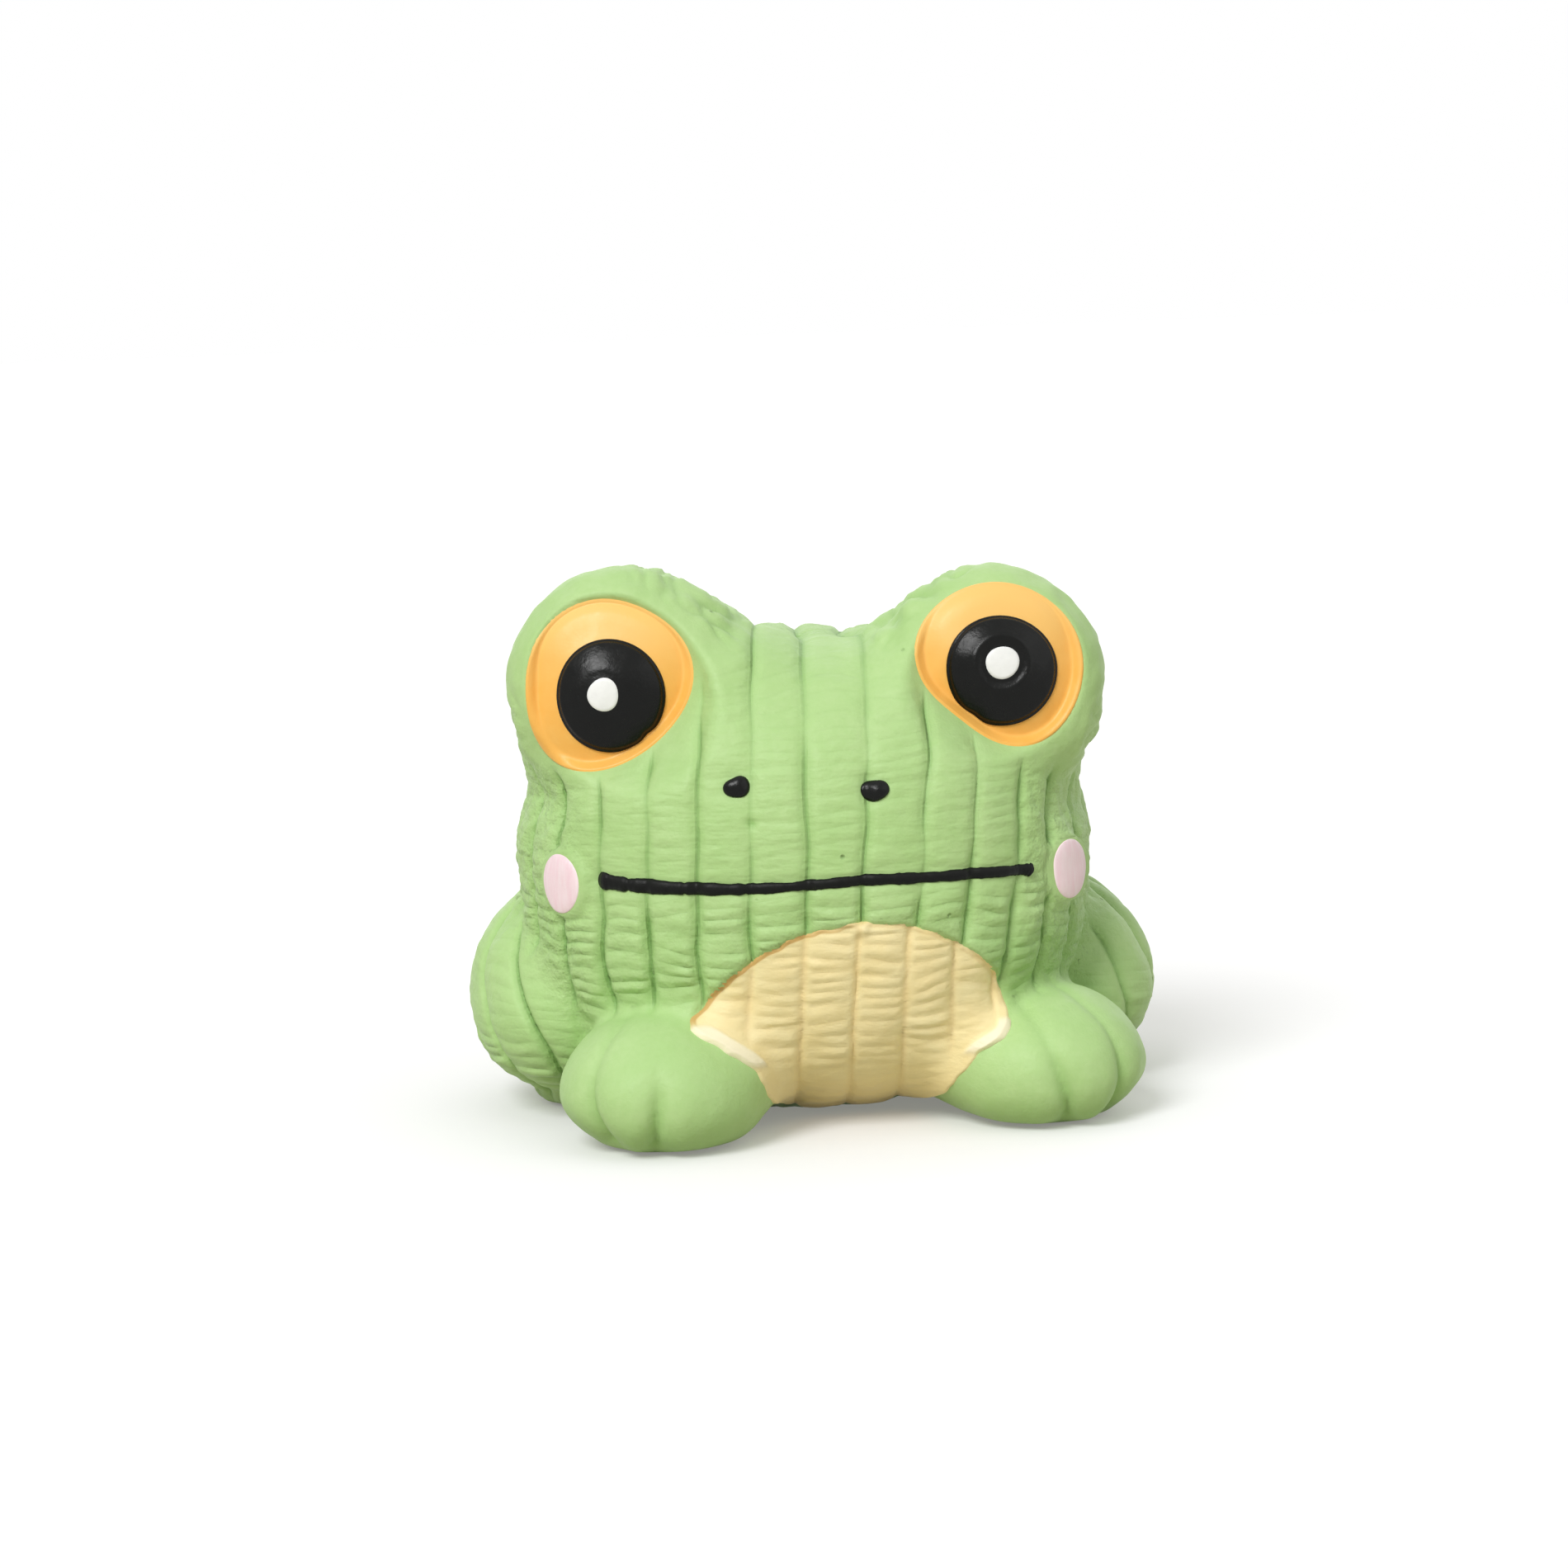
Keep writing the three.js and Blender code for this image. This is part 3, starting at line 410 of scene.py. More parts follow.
def notch(signed):
    """1 in the middle of a cut, falling off to 0 half-way to the next."""
    return (1.0 - 2.0 * np.abs(signed)) ** 3


# Widths of the grooves between ribs and of the toe creases, and how softly two forms' relief runs together
RIB_GROOVE, BELLY_GROOVE, HAUNCH_GROOVE, TOE_CREASE, RELIEF_BLEND = 0.8, 0.5, 0.6, 0.85, 0.9

# Where the body is rough: from the chin down, round the sides and at the back; and the rise of its crown
CHIN, SIDE, BACK, CROWN = (33.0, 27.0), (24.0, 31.0), (-14.0, -4.0), (54.0, 58.0)
BELLY_RECESS, BELLY_RIB, BELLY_ROUND = 0.8, 6.5, 36.0
RUNG_SPACING, BELLY_RUNG_SPACING, RUNG_DEPTH = 1.75, 1.6, 0.24


class Relief:
    """Moulded relief at points of the smooth skin, gathered form by form: height along the normal, painted
    shade in grooves, creases and hollows, strength of the fine grain, crumples and rungs, and a line along
    each rib for its groove and the painted shade in it."""

    # The depth mark is painted shade in grooves, creases and hollows; rib and rib_mask place the rib grooves
    # and the painted shade along them
    FADING = ("height", "depth", "grain", "crumple", "rungs", "rib_mask")
    MARKS = ("depth", "grain", "crumple", "rungs", "rung_count", "rib", "rib_mask")

    def __init__(self, count):
        for name in {*self.FADING, *self.MARKS}:
            setattr(self, name, np.zeros(count))

    def add(self, weight, **strengths):
        for name, strength in strengths.items():
            setattr(self, name, getattr(self, name) + weight * strength)

    def add_ribs(self, weight, place, rung_count, pitch, strength):
        """Notes the rungs counted up to each point, and its way in mm from the groove at each whole place."""
        most = weight > 0.5
        self.rung_count = np.where(most, rung_count, self.rung_count)
        self.rib = np.where(most, np.sin(math.pi * place) * pitch / math.pi, self.rib)
        self.rib_mask = np.where(most, strength * ramp(weight, 0.5, 0.8), self.rib_mask)

    def fade(self, share, names=FADING):
        for name in names:
            setattr(self, name, getattr(self, name) * share)

    def marks(self):
        return {name: getattr(self, name) for name in self.MARKS}


def skin_relief(p):
    """Height of the moulded relief along the normal, painted shade for how deep in a groove, crease or hollow
    a point lies, and where fine lines run.
    """
    away = form_distances(p)
    weights = np.exp(-(np.stack(away) - np.min(away, axis=0)) / RELIEF_BLEND)
    weights /= weights.sum(axis=0)
    result = Relief(len(p))
    body_relief(result, p, weights[0])
    for index, sign in enumerate(brows):
        brow_relief(result, p, weights[1 + index], sign)
        haunch_relief(result, p, weights[3 + index], sign)
        foot_relief(result, p, weights[5 + index], sign)
    face_dents(result, p)
    result.fade(ramp(weights.max(axis=0), 0.6, 0.95), ["rungs"])

    # Hand-made unevenness, and none of all this inside the eyes or under the base
    result.height += 0.12 * lumps(p, 5.0) + 0.04 * lumps(p, 1.7)
    quiet = ramp(p[:, 2], 0.1, 1.6)
    for eye in eyes.values():
        u, v, above = eye.flat(p)
        off, radius, _ = eye.iris.polar(u, v)
        quiet = quiet * np.where(above > -6.0, ramp(off - radius, -0.2, 2.2), 1.0)
    result.fade(quiet)
    result.depth = np.clip(result.depth, 0.0, 1.0)
    return result


def body_relief(result, p, weight):
    """Upright ribs of the head and body with level wrinkles across them, and the closer ribs of the belly."""
    x, y, z = p.T

    # Which rib a point is on: cut by hand across the face and leaning a little, evenly spaced round the back
    turn, scale = body.turn(p)
    half = RIB_COUNT / 2
    even = (turn * RIB_COUNT + half) % RIB_COUNT - half
    by_hand = np.interp(even, [-half, *RIB_LINES, half], [-half, *range(-5, 6), half])
    by_hand = by_hand - (0.004 + 0.006 * np.clip(even, 0.0, 2.6)) * (z - 37.0)
    place = even + (by_hand - even) * ramp(-y, 1.0, 11.0)
    crest = ramp(z, *CROWN) * ramp(np.abs(y), 5.0, 1.0)
    place = place + 0.06 * (1.0 - crest) * noise(place, z / 7.0, 3.5)
    band = np.floor(place)
    apart = np.abs(place - np.round(place))
    pitch = body.length / RIB_COUNT * np.maximum(scale, 0.25)
    walk = place * body.length / RIB_COUNT
    low = ramp(z, *CHIN)
    side = np.maximum(ramp(np.abs(x), *SIDE), ramp(y, *BACK))
    rough = np.maximum(low, 0.75 * side)

    # Grooves between the ribs, fainter in places, and the folds and crumples across them
    broken = np.clip(0.75 + 0.8 * noise(3.3 * np.round(place), z / 6.0, 6.5), 0.35, 1.0)
    broken = np.maximum(broken, 0.85 * rough)
    broken = broken + (0.8 - broken) * crest
    groove = broken * bell(apart * pitch, RIB_GROOVE)
    patchy = np.clip(0.7 + 0.8 * noise(walk / 9.0, z / 4.0, 11.5), 0.2, 1.0)
    crease = patchy * wrinkles(walk, z, band, 7.0, 3.0)
    down_right = creased((0.8 * walk - 0.6 * z) / 5.0, (0.8 * z + 0.6 * walk) / 1.7, 0.5)
    down_left = creased((0.8 * walk + 0.6 * z) / 5.0, (0.8 * z - 0.6 * walk) / 1.7, 4.5)
    upper = ramp(z, 30.0, 38.0) * ramp(x, -5.0, 5.0)
    folds = (0.05 + 0.22 * low + 0.12 * side * (1.0 - low)) * crease
    folds = folds + 0.2 * side * (upper * down_right + (1.0 - upper) * down_left)
    folds = folds + (0.05 + 0.14 * rough) * noise(walk / 4.0, z / 2.6, 2.3 * band)
    height = -(0.46 + 0.2 * rough) * groove - (0.2 + 0.3 * rough) * (1.0 - 2.0 * apart) ** 2
    height = height + (1.0 - crest) * folds

    # Rungs across the ribs, strongest from the chin down
    rung_count, sunk, rungs = level_rungs(walk, z, band, RUNG_SPACING)
    rungs = rungs * np.clip(low + 0.5 * side, 0.26, 1.0) * (1.0 - crest) * ramp(apart, 0.05, 0.2)
    height = height + RUNG_DEPTH * rungs * sunk

    # The sides are pinched in under the brows and full below, and the crown is higher on the right
    waist = 40.2 - 1.2 * np.sign(x)
    ahead = ramp(y, 14.0, 0.0)
    pinch = bell(z - waist, 3.2) * ramp(np.abs(x), 26.0, 33.0) * ahead
    height = height - np.where(x > 0, 0.7, 1.2) * pinch
    full = bell(z - 34.0, 5.0) * ramp(np.abs(x), 27.0, 33.0) * ahead
    height = height + 0.5 * full + 0.8 * ramp(z, 54.0, 58.5) * ramp(x, 8.0, -4.0)
    # Painted shade in the grooves and creases, and over the lower right of the body beside the foot
    hollow = np.maximum(groove * (0.45 + 0.4 * rough), -crease * 0.2 * rough)
    hollow = np.maximum(hollow, 0.85 * ramp(x, 16.0, 26.0) * ramp(z, 29.0, 21.0))

    # The belly's own ribs are closer set and lean, with finer wrinkles
    edge = np.where(y < -3.0, off_belly(x, z), 40.0)
    belly = ramp(edge, 0.25, -0.3)
    clear = ramp(np.abs(edge), 0.4, 1.2)
    lean = x + 0.5 - 0.08 * (z - 23.4)
    step = BELLY_ROUND * np.arcsin(np.clip(lean / BELLY_ROUND, -1.0, 1.0)) / BELLY_RIB
    belly_walk, belly_band = step * BELLY_RIB, np.floor(step) + 40.0
    belly_apart = np.abs(step - np.round(step))
    belly_groove = bell(belly_apart * BELLY_RIB, BELLY_GROOVE)
    belly_crease = wrinkles(belly_walk, z, belly_band + 0.5, 6.0, 1.9)
    belly_height = -0.22 * belly_groove - 0.35 * (1.0 - 2.0 * belly_apart) ** 2
    belly_height = belly_height + 0.14 * patchy * belly_crease
    belly_height = belly_height + 0.12 * noise(step * 1.4, z / 2.6, np.floor(step) + 0.5)
    belly_height = belly_height - BELLY_RECESS * ramp(z, 8.0, 19.0)
    belly_count, belly_sunk, belly_rungs = level_rungs(belly_walk, z, belly_band, BELLY_RUNG_SPACING)
    belly_rungs = belly_rungs * ramp(belly_apart, 0.05, 0.2)
    belly_height = belly_height + 0.5 * RUNG_DEPTH * belly_rungs * belly_sunk
    bare = weight * (1.0 - belly)
    result.add(bare, height=height, depth=hollow, grain=1.0, crumple=np.maximum(side, 0.3 * low),
               rungs=clear * rungs)
    # Painted shade in the belly's grooves and creases
    belly_painted_shade = np.maximum(0.5 * belly_groove, -0.15 * belly_crease)
    result.add(weight * belly, height=belly_height, depth=belly_painted_shade, rungs=clear * belly_rungs)
    rung_count = np.where(belly > 0.5, belly_count, rung_count)
    result.add_ribs(weight, place, rung_count, pitch, (1.0 - belly) * broken * (0.6 + 0.2 * rough))


def brow_relief(result, p, weight, sign):
    """Brows: smooth round the eyes, scalloped over their backs, and roughly folded towards each other."""
    x, y, z = p.T
    across, upward, out = brows[sign].local(p).T
    outward = sign * across
    around = np.arctan2(upward, across) / (2.0 * math.pi) * 12.0 + 0.4 * sign
    around = around + 0.35 * noise(around, 3.5, out / 5.0)
    scallop = notch(around - np.round(around)) * ramp(out, 6.0, 1.5)
    behind = ramp(out, 11.0, 6.0)
    inner = ramp(-outward, -2.0, 8.0) * behind
    outer = ramp(outward, 4.0, 11.0) * ramp(upward, 1.0, -6.0) * behind
    streak = creased((x * sign + z) / 5.5, (z - x * sign) / 2.4, y / 6.0)
    folded = inner + 0.6 * outer
    shoulder = ramp(outward, 1.0, 9.0) * ramp(upward, 1.0, 8.0)
    below = ramp(outward, 3.0, 9.0) * ramp(upward, -3.0, -9.0)
    lump = 0.16 * lumps(p, 3.2) + 0.8 * below - 0.4 * shoulder
    lump = lump + (0.4 * inner if sign < 0 else 0.0)
    lump = lump + folded * (0.35 + 0.7 * streak + 0.5 * noise(x / 4.0, y / 4.0, z / 3.0))
    # Painted shade in the scallops and folds
    hollow = np.maximum(0.5 * scallop, 0.5 * folded * streak ** 2)
    result.add(weight, height=lump - 0.5 * scallop, depth=hollow, grain=0.5 * inner, crumple=0.4 * outer)


def haunch_relief(result, p, weight, sign):
    """Haunches: wide leaning ribs with narrow cuts between them, more wrinkled towards the ground."""
    z = p[:, 2]
    turn, scale = haunches[sign].turn(p)
    inner_side = 0.5 + 0.25 * sign
    turn = (turn - inner_side) % 1.0 + inner_side
    lean, start = HAUNCH_LEAN[sign]
    place = turn * HAUNCH_RIB_COUNT + lean * (z - 14.0) + start
    place = place + 0.05 * noise(turn * 11.0, z / 6.0, 5.5)
    apart = np.abs(place - np.round(place))
    rib = haunches[sign].length / HAUNCH_RIB_COUNT
    pitch = rib * np.maximum(scale, 0.2)
    cut = bell(apart * pitch, HAUNCH_GROOVE)
    low = ramp(z, 14.0, 5.0)
    crease = wrinkles(place * rib, z, np.floor(place) + 80.5, 8.0, 2.4)
    depth = 0.65 if sign < 0 else 0.4
    height = -depth * cut - 0.5 * (1.0 - 2.0 * apart) ** 2 + (0.08 + 0.2 * low) * crease
    height = height + 0.15 * noise(place * 1.5, z / 4.0, 2.5) - 1.1 * ramp(z, 7.0, 1.0)
    rung_count, sunk, rungs = level_rungs(place * rib, z, np.floor(place) + 80.0, RUNG_SPACING)
    rungs = rungs * (0.25 + 0.75 * low) * ramp(apart, 0.05, 0.2)
    height = height + RUNG_DEPTH * rungs * sunk
    # Painted shade in the cuts and, low down, in the creases
    hollow = np.maximum(depth * cut, -0.25 * low * crease)
    result.add(weight, height=height, depth=hollow, grain=0.6, crumple=0.2, rungs=rungs)
    result.add_ribs(weight, place, rung_count, pitch, depth)


def foot_relief(result, p, weight, sign):
    """Feet: smooth, with two creases that part three toes and deepen towards the ground."""
    across, along, high = feet[sign].local(p).T
    inner, outer = (across - place - bend * (high - level) ** 2 for place, bend, level in TOE_CREASES[sign])
    inner_cut, outer_cut = (np.exp(-np.abs(off / TOE_CREASE) ** 1.4) for off in (inner, outer))
    ahead = ramp(along, 3.0, -5.0)
    short = 0.35 if sign > 0 else 0.1
    inner_cut = inner_cut * (short + (1.0 - short) * ramp(high, 12.0, 4.0)) * ahead
    outer_cut = outer_cut * (0.4 + 0.6 * ramp(high, 13.0, 4.0)) * ramp(along, 9.0, 2.0)
    bulge = ramp(np.minimum(np.abs(inner), np.abs(outer)), 0.0, 3.4) * ramp(high, 14.0, 6.0) * ahead
    crease = np.maximum(inner_cut, outer_cut)
    lifted = ramp(sign * across, 1.0, 9.0) * ramp(high, 7.0, 1.0)
    shade = np.maximum(0.6 * crease, 0.35 * ramp(high, 7.0, 2.0))
    result.add(weight, height=0.45 * bulge - 1.1 * crease - 0.8 * lifted, depth=shade)


def face_dents(result, p):
    """Dents under the mouth and nostrils, cheek bosses, and a stray pit."""
    x, y, z = p.T
    before = ramp(-y, 4.0, 10.0)
    face_points = np.stack([x, z], axis=1)
    near_mouth = (z > 28) & (z < 36) & (y < 0)
    result.height[near_mouth] -= 0.3 * bell(off_line(face_points[near_mouth], mouth_line, False), 1.1)
    for sign in SIDES.values():
        nostril_off = np.linalg.norm(face_points - np.array(NOSTRILS[sign]), axis=1)
        result.height -= 0.4 * before * bell(nostril_off, 2.0)
        off, sideways = cheek_off(p, sign)
        rise, lean = BOSS_SHAPE[sign]
        boss = ramp(off, BOSS_RADIUS + 0.75, BOSS_RADIUS - 0.15)
        result.height += (rise + lean * sideways - result.height) * boss
        result.fade(1.0 - boss, Relief.FADING[1:])
    pit = before * bell(np.linalg.norm(face_points - np.array(NOSE_PIT), axis=1), 0.55)
    result.height -= 0.5 * pit
    # The stray pit is darkened with painted shade
    result.depth = np.maximum(result.depth, pit)


# Rays that meet the face start well in front of it
INWARD, START_AHEAD, RAY_LENGTH = np.array([0.0, 1.0, 0.0]), 60.0, 80.0


def face_frame(x, z):
    """A point of the smooth face with its normal, level and upward directions."""
    point = drape(np.array([[x, -START_AHEAD, z]]), INWARD, RAY_LENGTH)
    normal = unit(gradient(point))[0]
    return point[0], normal, *upright(normal)


def drape(starts, direction, reach, steps=90, halvings=14):
    """Where rays from the starts first meet the smooth skin."""
    found = np.full(len(starts), reach)
    open_rays = np.ones(len(starts), bool)
    for distance in np.linspace(0.0, reach, steps):
        hit = open_rays & (skin_field(starts + direction * distance) < 0)
        found[hit] = distance
        open_rays &= ~hit
    high = found
    low = found - reach / (steps - 1)
    for _ in range(halvings):
        middle = (low + high) / 2.0
        hit = skin_field(starts + direction * middle[:, None]) < 0
        high = np.where(hit, middle, high)
        low = np.where(hit, low, middle)
    return starts + direction * high[:, None]


cheek_frames = {sign: face_frame(*CHEEKS[sign]) for sign in SIDES.values()}


def cheek_off(p, sign):
    """Distance from a cheek's middle along the face, and how much of it is level."""
    point, normal, level, upward = cheek_frames[sign]
    q = p - point
    sideways = q @ level
    return np.hypot(sideways, q @ upward) + 4.0 * np.maximum(np.abs(q @ normal) - 5.0, 0.0), sideways


# Meshes

def surface_net(field, low, high, step):
    """A quad mesh of the field's zero surface, one vertex to each cell that the surface crosses."""
    coarse = 4
    blocks = np.ceil((high - low) / (step * coarse)).astype(int)
    ticks = [low[i] + step * coarse * (np.arange(blocks[i]) + 0.5) for i in range(3)]
    rough = field(np.stack(np.meshgrid(*ticks, indexing="ij"), axis=-1).reshape(-1, 3)).reshape(blocks)
    values = rough.repeat(coarse, 0).repeat(coarse, 1).repeat(coarse, 2)
    near = np.argwhere(np.abs(values) < 2.2 * step * coarse)
    values[tuple(near.T)] = field(low + step * (near + 0.5))
    inside = values < 0
    corner_steps = [(i >> 2 & 1, i >> 1 & 1, i & 1) for i in range(8)]
    size = np.array(values.shape) - 1
    count = sum(inside[a:a + size[0], b:b + size[1], c:c + size[2]].astype(int) for a, b, c in corner_steps)
    cells = np.argwhere((count > 0) & (count < 8))
    number = np.full(size, -1)
    number[tuple(cells.T)] = np.arange(len(cells))
    corners = {s: values[tuple((cells + s).T)] for s in corner_steps}
    total = np.zeros((len(cells), 3))
    crossings = np.zeros(len(cells))
    for s in corner_steps:
        for axis in range(3):
            if s[axis]:
                continue
            e = tuple(v + (i == axis) for i, v in enumerate(s))
            crossed = (corners[s] < 0) != (corners[e] < 0)
            share = np.where(crossed, corners[s] / np.where(crossed, corners[s] - corners[e], 1.0), 0.0)
            point = np.array(s, float) + share[:, None] * (np.array(e) - np.array(s))
            total += np.where(crossed[:, None], point, 0.0)
            crossings += crossed
    verts = low + step * (cells + total / crossings[:, None] + 0.5)
    faces = []
    for axis in range(3):
        one = np.eye(3, dtype=int)
        b, c = one[(axis + 1) % 3], one[(axis + 2) % 3]
        ahead = np.roll(inside, -1, axis)
        nodes = np.argwhere(inside != ahead)
        nodes = nodes[np.all((nodes > 0) & (nodes < size), axis=1)]
        quads = np.stack([number[tuple((nodes - s).T)] for s in (b + c, c, 0 * b, b)], axis=1)
        outward = inside[tuple(nodes.T)]
        quads[~outward] = quads[~outward][:, ::-1]
        faces.append(quads)
    return verts, np.concatenate(faces)


def settle(verts, faces):
    """Evens the mesh out and brings every vertex onto the smooth skin."""
    pairs = np.concatenate([faces[:, [i, (i + 1) % 4]] for i in range(4)])
    for _ in range(2):
        total = np.zeros_like(verts)
        for axis in range(3):
            total[:, axis] = np.bincount(pairs[:, 0], verts[pairs[:, 1], axis], len(verts))
            total[:, axis] += np.bincount(pairs[:, 1], verts[pairs[:, 0], axis], len(verts))
        shared = np.bincount(pairs.ravel(), minlength=len(verts))
        verts = 0.5 * verts + 0.5 * total / shared[:, None]
    for _ in range(3):
        slope = gradient(verts)
        move = skin_field(verts) / np.maximum((slope ** 2).sum(axis=1), 0.2)
        verts = verts - np.clip(move, -0.6, 0.6)[:, None] * slope
    return verts


def add_piece(name, verts, faces, material, node, marks=None):
    """A smooth mesh in the scene that rides on the toy and stands for a node of the part."""
    mesh = bpy.data.meshes.new(name)
    mesh.from_pydata(to_scene(verts).tolist(), [], [list(map(int, face)) for face in faces])
    mesh.polygons.foreach_set("use_smooth", [True] * len(mesh.polygons))
    for mark, values in (marks or {}).items():
        layer = mesh.attributes.new(mark, "FLOAT", "POINT")
        layer.data.foreach_set("value", np.asarray(values, dtype=np.float32))
    mesh.materials.append(material)
    piece = bpy.data.objects.new(name, mesh)
    bpy.context.scene.collection.objects.link(piece)
    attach(piece, "toy")
    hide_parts(node)
    return piece


def cap_faces(rings, segments):
    """Faces of a closed cap: a middle vertex and rings outwards on top, and the same again underneath."""
    faces = []
    below = 1 + rings * segments
    for i in range(segments):
        n = (i + 1) % segments
        faces.append((0, 1 + i, 1 + n))
        faces.append((below, below + 1 + n, below + 1 + i))
        for ring in range(rings - 1):
            a = 1 + ring * segments
            faces.append((a + i, a + segments + i, a + segments + n, a + n))
            faces.append((below + a + n, below + a + segments + n, below + a + segments + i, below + a + i))
        last = 1 + (rings - 1) * segments
        faces.append((last + i, below + last + i, below + last + n, last + n))
    return faces


def paint_cap(name, node, plane, outline, shares, coat, sink, material, segments, ahead=9.0, reach=20.0):
    """A coat of paint with an outline on a plane, draped back onto the skin and closed underneath.
    coat gives its height over the skin, and its marks, over the patch of skin that it covers."""
    origin, normal, level, upward = plane
    angle = np.linspace(0.0, 2.0 * math.pi, segments, endpoint=False)
    radius = outline.radius(angle)
    spread = np.concatenate([[0.0], np.outer(shares, radius).ravel()])
    around = np.concatenate([[0.0], np.tile(angle, len(shares))])
    share = np.concatenate([[0.0], np.repeat(shares, segments)])
    u = outline.centre[0] + spread * np.cos(around)
    v = outline.centre[1] + spread * np.sin(around)
    base = drape(origin + np.outer(u, level) + np.outer(v, upward) + ahead * normal, -normal, reach)
    out = unit(gradient(base))
    moulded = skin_relief(base)
    lift, marks = coat(share, u, v, moulded)
    top = base + out * (moulded.height + lift)[:, None]
    under = base + out * (moulded.height - sink)[:, None]
    marks = {mark: np.tile(values, 2) for mark, values in marks.items()}
    add_piece(name, np.concatenate([top, under]), cap_faces(len(shares), segments), material, node, marks)


# Materials: each has its own grain, unevenness and finish

def srgb(*shades):
    """A colour for a socket, from shades of 0 to 255."""
    linear = [c / 12.92 if c <= 0.04045 else ((c + 0.055) / 1.055) ** 2.4 for c in (s / 255 for s in shades)]
    return (*linear, 1.0)


class Finish:
    """A node material built up in steps."""

    def __init__(self, name, specular=0.5):
        self.material = bpy.data.materials.new(name)
        self.material.use_nodes = True
        self.nodes = self.material.node_tree.nodes
        self.links = self.material.node_tree.links
        self.shader = self.nodes["Principled BSDF"]
        self.shader.inputs["Specular IOR Level"].default_value = specular
        self.coords = self.nodes.new("ShaderNodeTexCoord").outputs["Object"]
        self.height = None

    def noise(self, size_mm, detail=3.0, stretch=(1.0, 1.0, 1.0), roughness=0.55):
        mapping = self.nodes.new("ShaderNodeMapping")
        mapping.inputs["Scale"].default_value = stretch
        self.links.new(self.coords, mapping.inputs["Vector"])
        texture = self.nodes.new("ShaderNodeTexNoise")
        texture.inputs["Scale"].default_value = 1.0 / (size_mm * MM)
        texture.inputs["Detail"].default_value = detail
        texture.inputs["Roughness"].default_value = roughness
        self.links.new(mapping.outputs["Vector"], texture.inputs["Vector"])
        return texture.outputs["Fac"]

    def vary(self, size_mm, low=0.0, high=1.0, detail=3.0, stretch=(1.0, 1.0, 1.0)):
        """Patches of a size that differ from low to high."""
        return self.range(self.noise(size_mm, detail, stretch), 0.3, 0.7, low, high)

    def rungs(self):
        """Puffed skin between level creases, 0 in a crease and up to 1 between, and how near a crease is, for
        the painted shade in it.
        """
        off = self.math("PINGPONG", self.mark("rung_count"), 0.5)
        flat = self.math("POWER", self.range(off, 0.0, 0.5, 1.0, 0.0), 2.0)
        puff = self.times(self.less(flat), self.mark("rungs"))
        return puff, self.times(self.range(off, 0.0, 0.13, 1.0, 0.0), self.mark("rungs"))

    def spots(self, spacing_mm, share, radius):
        """Sparse round dots: 1 at their middles, on a share of the cells."""
        texture = self.nodes.new("ShaderNodeTexVoronoi")
        texture.inputs["Scale"].default_value = 1.0 / (spacing_mm * MM)
        self.links.new(self.coords, texture.inputs["Vector"])
        split = self.nodes.new("ShaderNodeSeparateColor")
        self.links.new(texture.outputs["Color"], split.inputs["Color"])
        chosen = self.math("LESS_THAN", split.outputs["Red"], share)
        dot = self.range(texture.outputs["Distance"], 0.0, radius, 1.0, 0.0)
        return self.times(chosen, dot)

    def mark(self, name):
        attribute = self.nodes.new("ShaderNodeAttribute")
        attribute.attribute_name = name
        return attribute.outputs["Fac"]

    def math(self, operation, a, b=0.0):
        node = self.nodes.new("ShaderNodeMath")
        node.operation = operation
        for socket, value in zip(node.inputs, (a, b)):
            self.put(value, socket)
        return node.outputs[0]

    def times(self, a, b):
        return self.math("MULTIPLY", a, b)

    def less(self, a):
        """What is left of 1."""
        return self.math("SUBTRACT", 1.0, a)

    def put(self, value, socket):
        if isinstance(value, bpy.types.NodeSocket):
            self.links.new(value, socket)
        else:
            socket.default_value = srgb(*value) if isinstance(value, tuple) else value

    def range(self, value, low, high, to_low, to_high):
        node = self.nodes.new("ShaderNodeMapRange")
        self.put(value, node.inputs["Value"])
        for name, number in zip(("From Min", "From Max", "To Min", "To Max"), (low, high, to_low, to_high)):
            node.inputs[name].default_value = number
        return node.outputs["Result"]

    def mix(self, factor, a, b):
        node = self.nodes.new("ShaderNodeMix")
        node.data_type = "RGBA"
        self.put(factor, node.inputs["Factor"])
        self.put(a, node.inputs["A"])
        self.put(b, node.inputs["B"])
        return node.outputs["Result"]

    def colour(self, value):
        self.put(value, self.shader.inputs["Base Color"])

    def rough(self, value):
        self.put(value, self.shader.inputs["Roughness"])

    def bump(self, height, depth_mm):
        node = self.nodes.new("ShaderNodeBump")
        node.inputs["Strength"].default_value = 1.0
        node.inputs["Distance"].default_value = depth_mm * MM
        self.links.new(height, node.inputs["Height"])
        if self.height is not None:
            self.links.new(self.height, node.inputs["Normal"])
        self.height = node.outputs["Normal"]
        self.links.new(self.height, self.shader.inputs["Normal"])


# Greens of the latex and yellows of the belly's paint, from their even tones and specks to painted shade in
# grooves, along rib lines, in creases and in pits, and on the belly a painted shadow under its upper edge, a
# painted highlight on its lips and painted light low down
LATEX = {"deep": (176, 211, 139), "pale": (186, 217, 150), "speck": (170, 208, 131), "groove": (126, 172, 88),
         "line": (100, 154, 72), "crease": (112, 160, 78), "pit": (92, 136, 62)}
SANDY = {"deep": (243, 224, 166), "pale": (249, 234, 182), "groove": (226, 190, 124),
         "crease": (222, 190, 126), "low": (255, 234, 174), "lip_highlight": (252, 243, 210), "wall": (210, 172, 106)}


